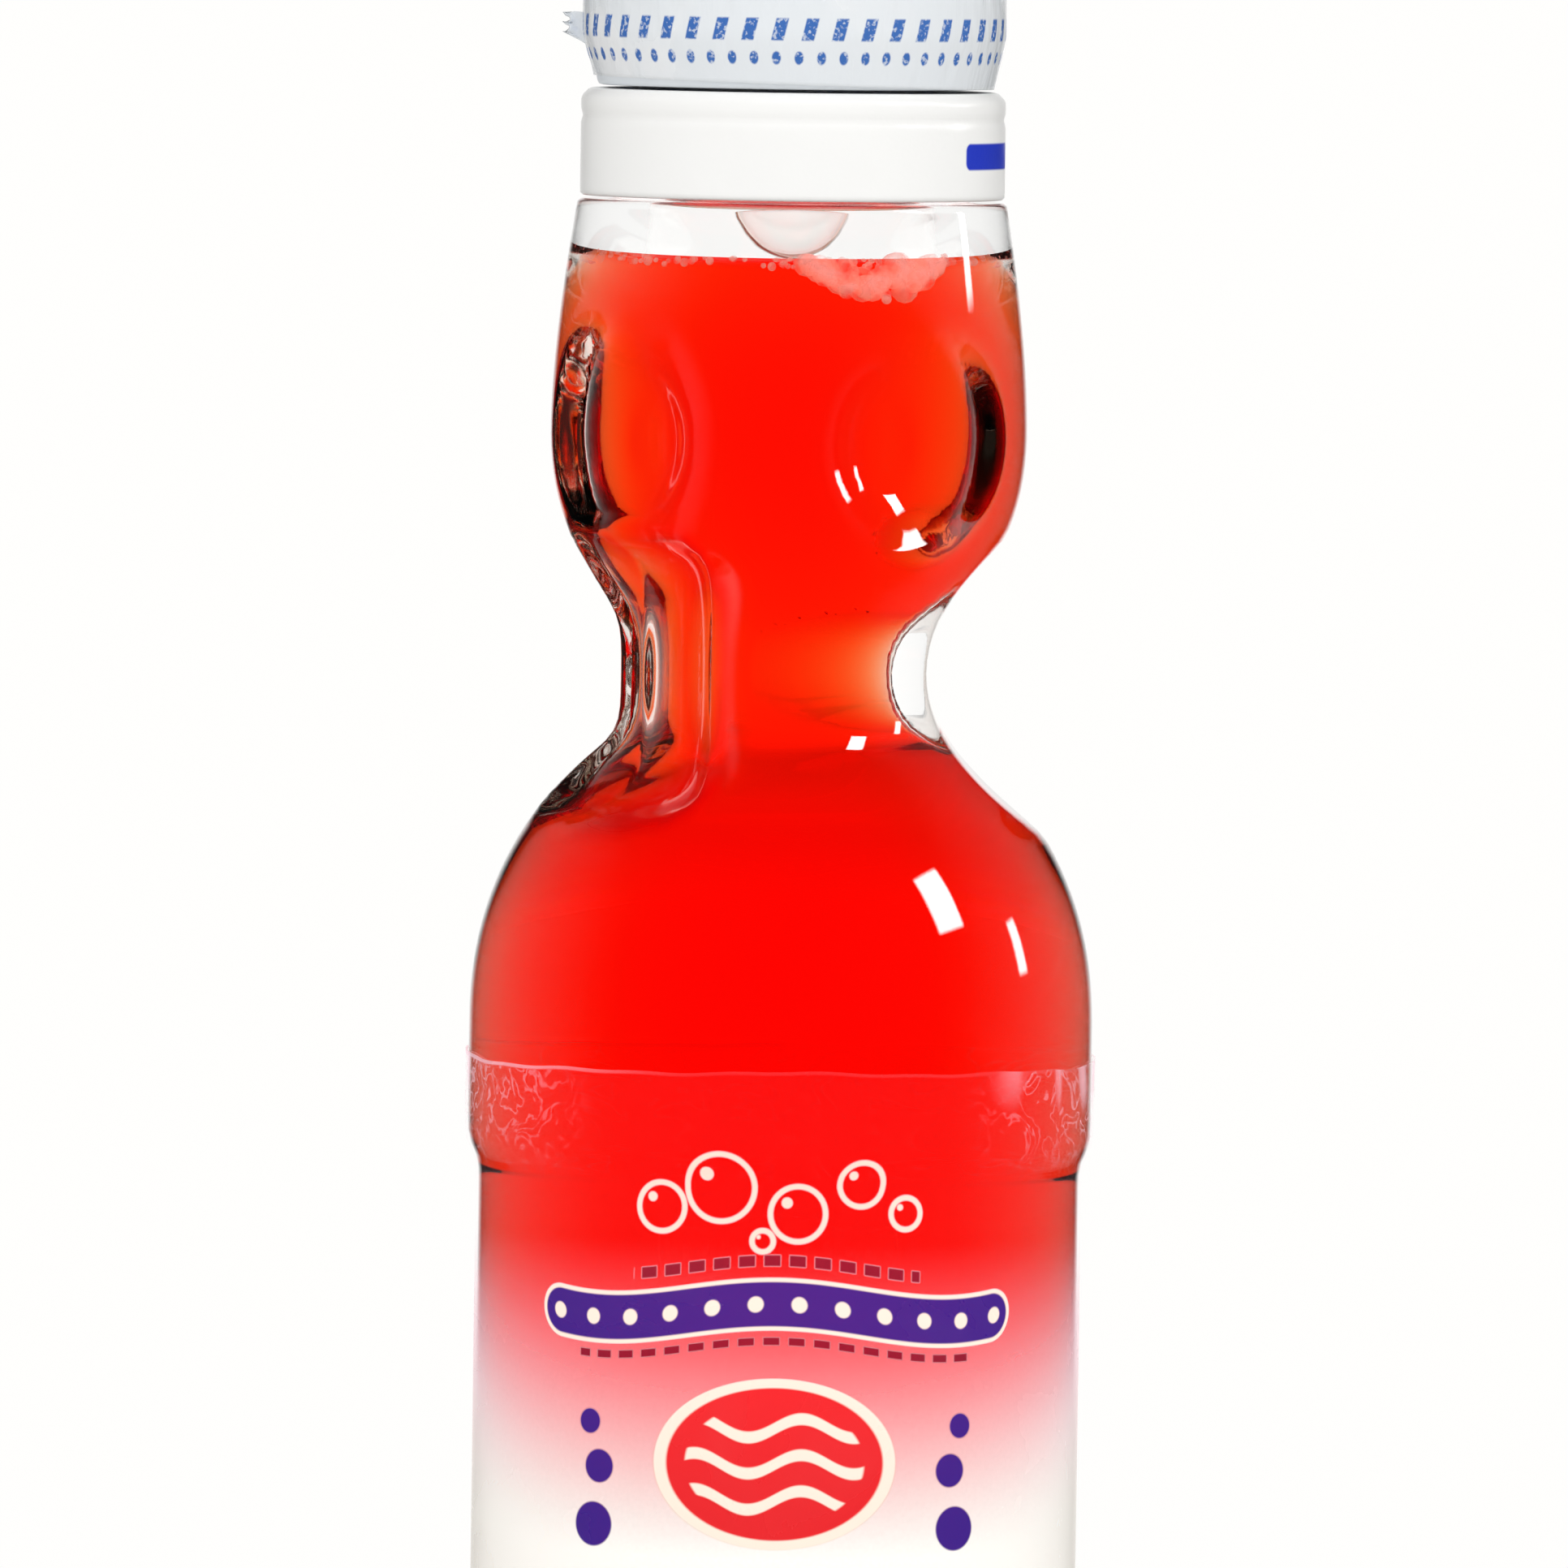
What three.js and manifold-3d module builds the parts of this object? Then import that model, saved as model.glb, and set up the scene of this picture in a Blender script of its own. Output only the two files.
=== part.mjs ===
// A marble-stoppered soda bottle. The thick glass body has a recessed label panel, a pinched waist and
// a ball chamber with two dimples. It is filled with soda and sleeved in a printed film. A glass marble,
// held up by gas pressure, seals the mouth against a rubber gasket in a plastic mouthpiece. On the
// mouthpiece stands the opener, a ring with a plunger in it, wrapped in a seal film with a tear strip.
// Millimetres, +Z up. The origin is the middle of the standing face, and the front looks along -Y.
import * as THREE from "three";
import { mergeVertices } from "three/addons/utils/BufferGeometryUtils.js";
import Module from "manifold-3d";

const wasm = await Module();
wasm.setup();

// Glass body: radii of the outer wall. The waist is deeper from front to back than it is wide.
const BODY_RADIUS = 29.7;
const PANEL_RECESS = 1.1;
const WAIST_RADIUS = 15.6;
const WAIST_DEPTH = 20;
const CHAMBER_RADIUS = 22.7;
const NECK_RADIUS = 20.4;
const FINISH_RADIUS = 16.6;
const FOOT_RADIUS = 25;
const FOOT_WIDTH = 6;

// Glass body: heights, stacked from the standing face upwards
const PUNT_DEPTH = 3.5;
const HEEL_HEIGHT = 6;
const LOWER_BAND_HEIGHT = 7;
const PANEL_STEP = 3;
const PANEL_HEIGHT = 72;
const UPPER_BAND_HEIGHT = 11.9;
const SHOULDER_HEIGHT = 26.3;
const WAIST_HEIGHT = 11.2;
const BULB_HEIGHT = 17.1;
const NECK_HEIGHT = 22.6;
const FINISH_HEIGHT = 8.2;

// Glass body: wall thicknesses
const BASE_THICKNESS = 9;
const BASE_CORNER = 9;
const BODY_WALL = 5.2;
const WAIST_WALL = 4.2;
const CHAMBER_WALL = 3.8;
const FINISH_WALL = 3.2;

// The bead under the rim that the mouthpiece snaps over
const BEAD_REACH = 1.2;
const BEAD_HEIGHT = 2.4;
const BEAD_DROP = 1.4;

// How full each curve of the wall is, as shares of its own height and width
const SHOULDER_CURVE = { low: 0.446, out: 0.557, high: 0.176 };
const BULB_CURVE = { low: 0.217, out: 0.473, high: 0.462 };
const NECK_CURVE = { low: 0.354, out: 0.434, high: 0.264 };
const THROAT_CURVE = { low: 0.55, out: 0, high: 0.25 };

// Two dimples that catch the marble
const DIMPLE_ANGLE = 41;
const DIMPLE_HALF_ANGLE = 33;
const DIMPLE_HALF_HEIGHT = 12.5;
const DIMPLE_DEPTH = 5;
const DIMPLE_FLOOR = 0.25;

// Two pinches in the waist. In each wall a pinch is a flat that swells outwards above and below its middle,
// and the left one has a shallow groove outside. Between the inner flats the marble can't pass.
const PINCH_RISE = 0.8;
const PINCH_HALF_HEIGHT = 18;
const PINCHES = {
  outside: [
    { angle: -50, flat: 15.3, swell: 34, power: 6, groove: 1.8 },
    { angle: 98, flat: 13.4, swell: 15.4, power: 2, groove: 0 },
  ],
  inside: [
    { angle: -50, flat: 11.6, swell: 30, power: 6, groove: 0 },
    { angle: 123, flat: 3.5, swell: 26, power: 2, groove: 0 },
  ],
};
const GROOVE_MIDDLE = 5.4;
const GROOVE_HALF_WIDTH = 6;

// Soda and label sleeve
const FILL_DROP = 6;
const LABEL_THICKNESS = 0.25;
const LABEL_UPPER_LAP = 8.1;
const LABEL_LOWER_LAP = 4;

// Marble, gasket and mouthpiece
const MARBLE_RADIUS = 8.4;
const GASKET_RADIUS = 9.6;
const GASKET_HEIGHT = 2.2;
const GASKET_BORE_RADIUS = 6.5;
const GASKET_SEAT_RADIUS = 7.6;
const CAP_RADIUS = 20.2;
const CAP_WALL = 1.8;
const CAP_TOP_THICKNESS = 2;
const CAP_EDGE = 0.8;
const SNAP_HEIGHT = 2;
const PLUG_LENGTH = 3.6;
const GASKET_LEDGE_HEIGHT = 1;
const GASKET_LEDGE_REACH = 0.8;
const LIP_RADIUS = 12.4;
const LIP_HEIGHT = 2.4;
const MOUTH_RADIUS = 6.9;

// Opener ring and plunger
const RING_RADIUS = 19.7;
const RING_FOOT_RADIUS = 18.6;
const RING_TAPER_HEIGHT = 5;
const RING_HEIGHT = 13.4;
const RING_WALL = 2;
const NUB_COUNT = 6;
const NUB_WIDTH = 1.6;
const NUB_HEIGHT = 1.2;
const DISC_THICKNESS = 2.4;
const DISC_DISH = 0.8;
const DISC_RIM = 2;
const DISC_SINK = 0.4;
const POST_RADIUS = 4.6;
const POST_CHAMFER = 0.8;
const RIB_COUNT = 4;
const RIB_LENGTH = 9;
const RIB_HEIGHT = 1;
const RIB_THICKNESS = 1.4;

// Seal film and its tear strip
const FILM_THICKNESS = 0.3;
const FILM_OPENING_RADIUS = 14.5;
const STRIP_WIDTH = 8;
const TAB_REACH = 2.2;
const TAB_HEIGHT = 3;
const TAB_THICKNESS = 0.5;
const TAB_DROP = 6.8;

// Clearances
const GAP = 0.3;
const SODA_GAP = 0.4;
const SLEEVE_GAP = 0.15;
const SEAT_GAP = 0.15;
const FILM_GAP = 0.2;
const PLUNGER_GAP = 0.35;
const NUB_GAP = 0.15;
const POST_GAP = 0.4;

// Smoothness: steps round the axis and along each curve of a wall
const BOTTLE_SIDES = 40;
const CLOSURE_SIDES = 36;
const CURVE_STEPS = 7;
const FINE_STEPS = 3;

// Heights of the stations along the bottle
const heelTop = HEEL_HEIGHT;
const lowerBandTop = heelTop + LOWER_BAND_HEIGHT;
const panelBottom = lowerBandTop + PANEL_STEP;
const panelTop = panelBottom + PANEL_HEIGHT;
const upperBandBottom = panelTop + PANEL_STEP;
const shoulderBottom = upperBandBottom + UPPER_BAND_HEIGHT;
const waistBottom = shoulderBottom + SHOULDER_HEIGHT;
const waistTop = waistBottom + WAIST_HEIGHT;
const chamberMiddle = waistTop + BULB_HEIGHT;
const neckTop = chamberMiddle + NECK_HEIGHT;
const finishTop = neckTop + FINISH_HEIGHT;
const waistMiddle = (waistBottom + waistTop) / 2;
const panelRadius = BODY_RADIUS - PANEL_RECESS;
const bodyBore = panelRadius - BODY_WALL;
const chamberBore = CHAMBER_RADIUS - CHAMBER_WALL;
const boreRadius = FINISH_RADIUS - FINISH_WALL;
const floorHeight = PUNT_DEPTH + BASE_THICKNESS;

// Heights of the closure, each resting on the piece below it
const plateBottom = finishTop + GAP;
const plateTop = plateBottom + CAP_TOP_THICKNESS;
const lipTop = plateTop + LIP_HEIGHT;
const gasketBottom = plateBottom;
const gasketTop = gasketBottom + GASKET_HEIGHT;
const seatRadius = MARBLE_RADIUS + SEAT_GAP;
const marbleHeight = gasketBottom - Math.sqrt(seatRadius ** 2 - GASKET_SEAT_RADIUS ** 2);
const ringBottom = plateTop + GAP;
const ringTop = ringBottom + RING_HEIGHT;
const ringBore = RING_RADIUS - RING_WALL;
const discRadius = ringBore - PLUNGER_GAP;
const discTop = ringTop - DISC_SINK;
const discBottom = discTop - DISC_THICKNESS;
const filmTop = ringTop + FILM_GAP;

const degrees = (angle) => THREE.MathUtils.degToRad(angle);

// A curve of the wall from one station to the next. It leaves the narrower end on a slant and stands
// upright at the wider end, so that bulbs and shoulders meet the waist at a soft corner.
function rise(path, from, to, curve) {
  const height = to.y - from.y;
  const width = to.x - from.x;
  const widening = width > 0;
  const lowOut = widening ? curve.out * width : 0;
  const highOut = widening ? 0 : curve.out * width;
  path.bezierCurveTo(
    from.x + lowOut, from.y + curve.low * height,
    to.x - highOut, to.y - curve.high * height,
    to.x, to.y,
  );
}

// The wall between the top of the body and the middle of the ball chamber, at the given radii
function waistedWall(body, waist, chamber) {
  const path = new THREE.Path();
  path.moveTo(body, shoulderBottom);
  const shoulder = new THREE.Vector2(body, shoulderBottom);
  rise(path, shoulder, new THREE.Vector2(waist, waistBottom), SHOULDER_CURVE);
  for (let step = 1; step <= FINE_STEPS; step += 1) {
    path.lineTo(waist, waistBottom + (WAIST_HEIGHT * step) / FINE_STEPS);
  }
  const bulb = new THREE.Vector2(waist, waistTop);
  rise(path, bulb, new THREE.Vector2(chamber, chamberMiddle), BULB_CURVE);
  return path.getPoints(CURVE_STEPS);
}

// The wall above the middle of the chamber
function neckWall(chamber, neck, curve) {
  const path = new THREE.Path();
  path.moveTo(chamber, chamberMiddle);
  rise(path, new THREE.Vector2(chamber, chamberMiddle), new THREE.Vector2(neck, neckTop), curve);
  return path.getPoints(CURVE_STEPS);
}

// The outside of the body from the heel to the shoulder, moved outwards by an offset, between two heights
function bodyWall(offset, from, to) {
  const band = BODY_RADIUS + offset;
  const panel = panelRadius + offset;
  const half = PANEL_STEP / 2;
  const path = new THREE.Path();
  path.moveTo(band, from);
  path.lineTo(band, lowerBandTop);
  path.bezierCurveTo(band, lowerBandTop + half, panel, panelBottom - half, panel, panelBottom);
  path.lineTo(panel, panelTop);
  path.bezierCurveTo(panel, panelTop + half, band, upperBandBottom - half, band, upperBandBottom);
  path.lineTo(band, to);
  return path.getPoints(FINE_STEPS);
}

// The inside of the glass, from the middle of its floor up to the rim
function insideWall() {
  const floor = new THREE.Path();
  floor.moveTo(0, floorHeight);
  floor.lineTo(bodyBore - BASE_CORNER, floorHeight);
  floor.quadraticCurveTo(bodyBore, floorHeight, bodyBore, floorHeight + BASE_CORNER);
  return [
    ...floor.getPoints(FINE_STEPS),
    ...waistedWall(bodyBore, WAIST_RADIUS - WAIST_WALL, chamberBore),
    ...neckWall(chamberBore, boreRadius, THROAT_CURVE).slice(1),
    new THREE.Vector2(boreRadius, finishTop),
  ];
}

// The outside of the glass, from the top of its push-up over the standing ring to the rim
function outsideWall() {
  const foot = new THREE.Path();
  foot.moveTo(0, PUNT_DEPTH);
  foot.quadraticCurveTo(FOOT_RADIUS - FOOT_WIDTH, PUNT_DEPTH, FOOT_RADIUS - FOOT_WIDTH, 0);
  foot.lineTo(FOOT_RADIUS, 0);
  foot.quadraticCurveTo(BODY_RADIUS, 0, BODY_RADIUS, heelTop);
  const finish = new THREE.Path();
  const bead = FINISH_RADIUS + BEAD_REACH;
  const beadTop = finishTop - BEAD_DROP;
  finish.moveTo(FINISH_RADIUS, neckTop);
  finish.lineTo(FINISH_RADIUS, beadTop - BEAD_HEIGHT);
  finish.quadraticCurveTo(bead, beadTop - BEAD_HEIGHT, bead, beadTop - BEAD_HEIGHT / 2);
  finish.quadraticCurveTo(bead, beadTop, FINISH_RADIUS, beadTop);
  finish.lineTo(FINISH_RADIUS, finishTop);
  return [
    ...foot.getPoints(FINE_STEPS),
    ...bodyWall(0, heelTop, shoulderBottom).slice(1),
    ...waistedWall(BODY_RADIUS, WAIST_RADIUS, CHAMBER_RADIUS).slice(1),
    ...neckWall(CHAMBER_RADIUS, NECK_RADIUS, NECK_CURVE).slice(1),
    ...finish.getPoints(FINE_STEPS),
  ];
}

// A turned solid about the Z axis, from a profile that starts and ends on the axis or closes on itself
function turned(points, sides) {
  const profile = points.map((point) => new THREE.Vector2(point.x, point.y));
  return new THREE.LatheGeometry(profile, sides).rotateX(Math.PI / 2);
}

// The same surface with its faces turned round
function flipped(geometry) {
  const index = geometry.getIndex();
  for (let i = 0; i < index.count; i += 3) {
    const second = index.getX(i + 1);
    index.setX(i + 1, index.getX(i + 2));
    index.setX(i + 2, second);
  }
  return geometry;
}

// How far an angle lies from another, the short way round
function turnBetween(angle, middle) {
  return Math.atan2(Math.sin(angle - middle), Math.cos(angle - middle));
}

// How deep a dimple is at a point: full on its floor, none at its edge
function dimpleDepth(turn, lift) {
  const distance = Math.hypot(turn / degrees(DIMPLE_HALF_ANGLE), lift / DIMPLE_HALF_HEIGHT);
  return DIMPLE_DEPTH * (1 - THREE.MathUtils.smoothstep(distance, DIMPLE_FLOOR, 1));
}

// The reach of each wall to the front and back: at the body, at the waist and at the ball chamber
const FRONTS = {
  outside: { body: BODY_RADIUS, waist: WAIST_DEPTH, chamber: CHAMBER_RADIUS },
  inside: { body: bodyBore, waist: WAIST_DEPTH - WAIST_WALL, chamber: chamberBore },
};

// How many times as deep as wide a wall is at a height. It is over 1 only round the waist.
function stretchAt(height, radius, front, inset) {
  if (height < shoulderBottom || height > chamberMiddle) {
    return 1;
  }
  const { lerp, smoothstep } = THREE.MathUtils;
  const reach = height < waistMiddle
    ? lerp(front.body, front.waist, smoothstep(height, shoulderBottom, waistMiddle))
    : lerp(front.waist, front.chamber, smoothstep(height, waistMiddle, chamberMiddle));
  return Math.max((reach - inset) / radius, 1);
}

// How far from the axis a flat lets a wall reach
function flatReach(turn, lift, { flat, swell, power, groove }, inset) {
  if (Math.cos(turn) <= 0) {
    return Infinity;
  }
  const across = (flat * Math.tan(turn) - GROOVE_MIDDLE) / GROOVE_HALF_WIDTH;
  const hollow = groove * Math.max(1 - across ** 2, 0);
  const swelling = swell * Math.abs(lift / PINCH_HALF_HEIGHT) ** power;
  return (flat - inset + swelling - hollow) / Math.cos(turn);
}

// Deepens the waist of a turned wall, then presses the dimples and the pinches into it. Each point is on the
// outside or on the inside of the glass, and may be set in from it. Angles run round from the front.
function pressed(geometry, sideAt, inset = 0) {
  const position = geometry.getAttribute("position");
  const point = new THREE.Vector3();
  for (let i = 0; i < position.count; i += 1) {
    point.fromBufferAttribute(position, i);
    point.y *= stretchAt(point.z, Math.hypot(point.x, point.y), FRONTS[sideAt(i)], inset);
    const radius = Math.hypot(point.x, point.y);
    const angle = Math.atan2(point.x, -point.y);
    let reach = radius;
    for (const side of [-DIMPLE_ANGLE, DIMPLE_ANGLE]) {
      reach -= dimpleDepth(turnBetween(angle, degrees(side)), point.z - chamberMiddle);
    }
    for (const pinch of PINCHES[sideAt(i)]) {
      const turn = turnBetween(angle, degrees(pinch.angle));
      const lift = point.z - waistMiddle - PINCH_RISE;
      reach = Math.min(reach, flatReach(turn, lift, pinch, inset));
    }
    const share = radius > 0 ? Math.max(reach, 0) / radius : 1;
    position.setXY(i, point.x * share, point.y * share);
  }
  return geometry;
}

// Closed geometry as a solid for joining and cutting, and back again
function solid(geometry) {
  geometry.deleteAttribute("normal");
  geometry.deleteAttribute("uv");
  const merged = mergeVertices(geometry, 1e-4);
  return new wasm.Manifold(new wasm.Mesh({
    numProp: 3,
    vertProperties: new Float32Array(merged.getAttribute("position").array),
    triVerts: new Uint32Array(merged.getIndex().array),
  }));
}

function geometryOf(shape) {
  const mesh = shape.getMesh();
  const geometry = new THREE.BufferGeometry();
  geometry.setAttribute("position", new THREE.BufferAttribute(new Float32Array(mesh.vertProperties), 3));
  geometry.setIndex(new THREE.BufferAttribute(new Uint32Array(mesh.triVerts), 1));
  geometry.computeVertexNormals();
  return geometry;
}

// A block given by its two opposite corners
function block(low, high) {
  const size = high.clone().sub(low);
  const middle = low.clone().add(high).multiplyScalar(0.5);
  return new THREE.BoxGeometry(size.x, size.y, size.z).translate(middle.x, middle.y, middle.z);
}

function glassBottle() {
  const outside = outsideWall();
  const profile = [...outside, ...insideWall().reverse()];
  const sideAt = (index) => (index % profile.length < outside.length ? "outside" : "inside");
  return pressed(turned(profile, BOTTLE_SIDES), sideAt);
}

// The soda fills the glass, a clearance inside its wall, up to the fill line. It is turned from the top
// down, as the inside of the glass is, so that the facets of both lie side by side.
function soda() {
  const level = neckTop - FILL_DROP;
  const bottom = floorHeight + SODA_GAP;
  const inside = insideWall();
  const above = inside.findIndex((point) => point.y >= level);
  const before = inside[above - 1];
  const share = (level - before.y) / (inside[above].y - before.y);
  const wall = [...inside.slice(1, above), before.clone().lerp(inside[above], share)];
  const side = wall.map((point) => new THREE.Vector2(point.x - SODA_GAP, Math.max(point.y, bottom)));
  const profile = [new THREE.Vector2(0, level), ...side.reverse(), new THREE.Vector2(0, bottom)];
  return flipped(pressed(turned(profile, BOTTLE_SIDES), () => "inside", SODA_GAP));
}

function labelSleeve() {
  const from = lowerBandTop - LABEL_LOWER_LAP;
  const to = upperBandBottom + LABEL_UPPER_LAP;
  const outer = bodyWall(SLEEVE_GAP + LABEL_THICKNESS, from, to);
  const inner = bodyWall(SLEEVE_GAP, from, to).reverse();
  return turned([...outer, ...inner, outer[0]], BOTTLE_SIDES);
}

function marble() {
  return new THREE.SphereGeometry(MARBLE_RADIUS, 24, 14).rotateX(Math.PI / 2).translate(0, 0, marbleHeight);
}

// A rubber ring whose lower inside edge is a zone of a sphere about the sealed marble
function mouthGasket() {
  const low = Math.acos(GASKET_SEAT_RADIUS / seatRadius);
  const high = Math.acos(GASKET_BORE_RADIUS / seatRadius);
  const section = new THREE.Path();
  section.moveTo(GASKET_SEAT_RADIUS, gasketBottom);
  section.lineTo(GASKET_RADIUS, gasketBottom);
  section.lineTo(GASKET_RADIUS, gasketTop);
  section.lineTo(GASKET_BORE_RADIUS, gasketTop);
  section.lineTo(GASKET_BORE_RADIUS, marbleHeight + seatRadius * Math.sin(high));
  section.absarc(0, marbleHeight, seatRadius, high, low, true);
  return turned(section.getPoints(2), CLOSURE_SIDES);
}

// The mouthpiece: a skirt that snaps over the bead, a top plate with a raised lip round the mouth, and a
// plug in the bore with a ledge that keeps the gasket in its pocket
function mouthpiece() {
  const skirtBottom = neckTop + GAP;
  const skirtInside = CAP_RADIUS - CAP_WALL;
  const snapRadius = FINISH_RADIUS + GAP;
  const snapTop = Math.min(skirtBottom + SNAP_HEIGHT, finishTop - BEAD_DROP - BEAD_HEIGHT - GAP);
  const plugRadius = boreRadius - GAP;
  const pocketRadius = GASKET_RADIUS + GAP;
  const ledgeTop = gasketBottom - GAP;
  const plugBottom = plateBottom - PLUG_LENGTH;
  const profile = [
    [snapRadius, skirtBottom],
    [CAP_RADIUS - CAP_EDGE / 2, skirtBottom],
    [CAP_RADIUS, skirtBottom + CAP_EDGE / 2],
    [CAP_RADIUS, plateTop - CAP_EDGE],
    [CAP_RADIUS - CAP_EDGE / 3, plateTop - CAP_EDGE / 3],
    [CAP_RADIUS - CAP_EDGE, plateTop],
    [LIP_RADIUS, plateTop],
    [LIP_RADIUS - CAP_EDGE, lipTop],
    [MOUTH_RADIUS, lipTop],
    [MOUTH_RADIUS, gasketTop + GAP],
    [pocketRadius, gasketTop + GAP],
    [pocketRadius, ledgeTop],
    [pocketRadius - GASKET_LEDGE_REACH, ledgeTop],
    [pocketRadius - GASKET_LEDGE_REACH, ledgeTop - GASKET_LEDGE_HEIGHT],
    [pocketRadius, plugBottom],
    [plugRadius, plugBottom],
    [plugRadius, plateBottom],
    [skirtInside, plateBottom],
    [skirtInside, snapTop],
    [snapRadius, snapTop],
    [snapRadius, skirtBottom],
  ];
  return turned(profile.map(([x, y]) => new THREE.Vector2(x, y)), CLOSURE_SIDES);
}

// The outside of the opener ring, moved outwards by an offset
function ringWall(offset) {
  return [
    new THREE.Vector2(RING_FOOT_RADIUS + offset, ringBottom),
    new THREE.Vector2(RING_RADIUS + offset, ringBottom + RING_TAPER_HEIGHT),
    new THREE.Vector2(RING_RADIUS + offset, ringTop + offset),
  ];
}

// The ring, with break-off nubs that stop just short of the plunger's rim
function openerRing() {
  const outer = ringWall(0);
  const inner = [new THREE.Vector2(ringBore, ringTop), new THREE.Vector2(ringBore, ringBottom)];
  let ring = solid(turned([...outer, ...inner, outer[0]], CLOSURE_SIDES));
  const nubMiddle = (discTop + discBottom) / 2;
  for (let i = 0; i < NUB_COUNT; i += 1) {
    const nub = block(
      new THREE.Vector3(discRadius + NUB_GAP, -NUB_WIDTH / 2, nubMiddle - NUB_HEIGHT / 2),
      new THREE.Vector3(ringBore + RING_WALL / 2, NUB_WIDTH / 2, nubMiddle + NUB_HEIGHT / 2),
    );
    ring = ring.add(solid(nub.rotateZ(degrees((360 * i) / NUB_COUNT))));
  }
  return geometryOf(ring);
}

// The plunger: a dished disc on a post, with ribs between them
function plunger() {
  const postBottom = marbleHeight + MARBLE_RADIUS + POST_GAP;
  const profile = [
    [0, postBottom],
    [POST_RADIUS - POST_CHAMFER, postBottom],
    [POST_RADIUS, postBottom + POST_CHAMFER],
    [POST_RADIUS, discBottom],
    [discRadius, discBottom],
    [discRadius, discTop],
    [discRadius - DISC_RIM, discTop],
    [discRadius - DISC_RIM - DISC_DISH, discTop - DISC_DISH],
    [0, discTop - DISC_DISH],
  ];
  let body = solid(turned(profile.map(([x, y]) => new THREE.Vector2(x, y)), CLOSURE_SIDES));
  for (let i = 0; i < RIB_COUNT; i += 1) {
    const rib = block(
      new THREE.Vector3(POST_RADIUS / 2, -RIB_THICKNESS / 2, discBottom - RIB_HEIGHT),
      new THREE.Vector3(POST_RADIUS + RIB_LENGTH, RIB_THICKNESS / 2, discBottom + DISC_THICKNESS / 3),
    );
    body = body.add(solid(rib.rotateZ(degrees(45 + (360 * i) / RIB_COUNT))));
  }
  return geometryOf(body);
}

// The whole seal film: it hugs the ring and folds in over its top edge
function wholeFilm() {
  const outer = ringWall(FILM_GAP + FILM_THICKNESS);
  const inner = ringWall(FILM_GAP).reverse();
  const fold = [
    new THREE.Vector2(FILM_OPENING_RADIUS, filmTop + FILM_THICKNESS),
    new THREE.Vector2(FILM_OPENING_RADIUS, filmTop),
  ];
  return solid(turned([...outer, ...fold, ...inner, outer[0]], CLOSURE_SIDES));
}

// A slab that takes the strip's width out of the left side of the film
function stripSlab(width) {
  const reach = RING_RADIUS * 2;
  return solid(block(
    new THREE.Vector3(-reach, -width / 2, ringBottom - GAP),
    new THREE.Vector3(0, width / 2, filmTop + reach),
  ));
}

function sealFilm() {
  return geometryOf(wholeFilm().subtract(stripSlab(STRIP_WIDTH + 2 * GAP)));
}

// The tear strip, with a tab that stands out from it
function sealTearStrip() {
  const wall = RING_RADIUS + FILM_GAP + FILM_THICKNESS;
  const tabTop = filmTop - TAB_DROP;
  const tab = block(
    new THREE.Vector3(-wall - TAB_REACH, -TAB_THICKNESS / 2, tabTop - TAB_HEIGHT),
    new THREE.Vector3(-wall + FILM_THICKNESS / 2, TAB_THICKNESS / 2, tabTop),
  );
  return geometryOf(wholeFilm().intersect(stripSlab(STRIP_WIDTH)).add(solid(tab)));
}

const bottle = new THREE.Group();

function addPiece(name, geometry, finish) {
  const mesh = new THREE.Mesh(geometry, new THREE.MeshStandardMaterial(finish));
  mesh.name = name;
  bottle.add(mesh);
}

const clear = { transparent: true, opacity: 0.35 };
addPiece("glass_bottle", glassBottle(), { color: 0xe8f1ee, roughness: 0.03, metalness: 0, ...clear });
addPiece("soda", soda(), { color: 0xf4140a, roughness: 0.05, metalness: 0 });
addPiece("label_sleeve", labelSleeve(), { color: 0xf3e9e6, roughness: 0.3, metalness: 0 });
addPiece("marble", marble(), { color: 0xbfe0da, roughness: 0.03, metalness: 0, ...clear });
addPiece("mouth_gasket", mouthGasket(), { color: 0xdcdcd6, roughness: 0.6, metalness: 0 });
addPiece("mouthpiece", mouthpiece(), { color: 0xf6f6f4, roughness: 0.35, metalness: 0 });
addPiece("opener_ring", openerRing(), { color: 0xe9edf1, roughness: 0.4, metalness: 0 });
addPiece("plunger", plunger(), { color: 0x2d57b8, roughness: 0.35, metalness: 0 });
addPiece("seal_film", sealFilm(), { color: 0xe4e8ed, roughness: 0.25, metalness: 0 });
addPiece("seal_tear_strip", sealTearStrip(), { color: 0xe4e8ed, roughness: 0.25, metalness: 0 });

export default bottle;
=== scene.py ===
# %% [markdown]
# # A marble-stoppered soda bottle
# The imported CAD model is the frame: it says where each piece sits, which body it rides on and how far it
# moves. This lesson dresses that frame. The CAD solids could be shown as they are, but glass shows every
# facet, so each node gives way to a smooth surface of the same size, with a finish built from shader nodes.
# Lengths in the CAD model are quoted in millimetres, so one constant turns them into Blender's metres.

# %% Load the frame
import math

import bmesh
import bpy
import numpy as np
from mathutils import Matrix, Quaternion, Vector


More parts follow.
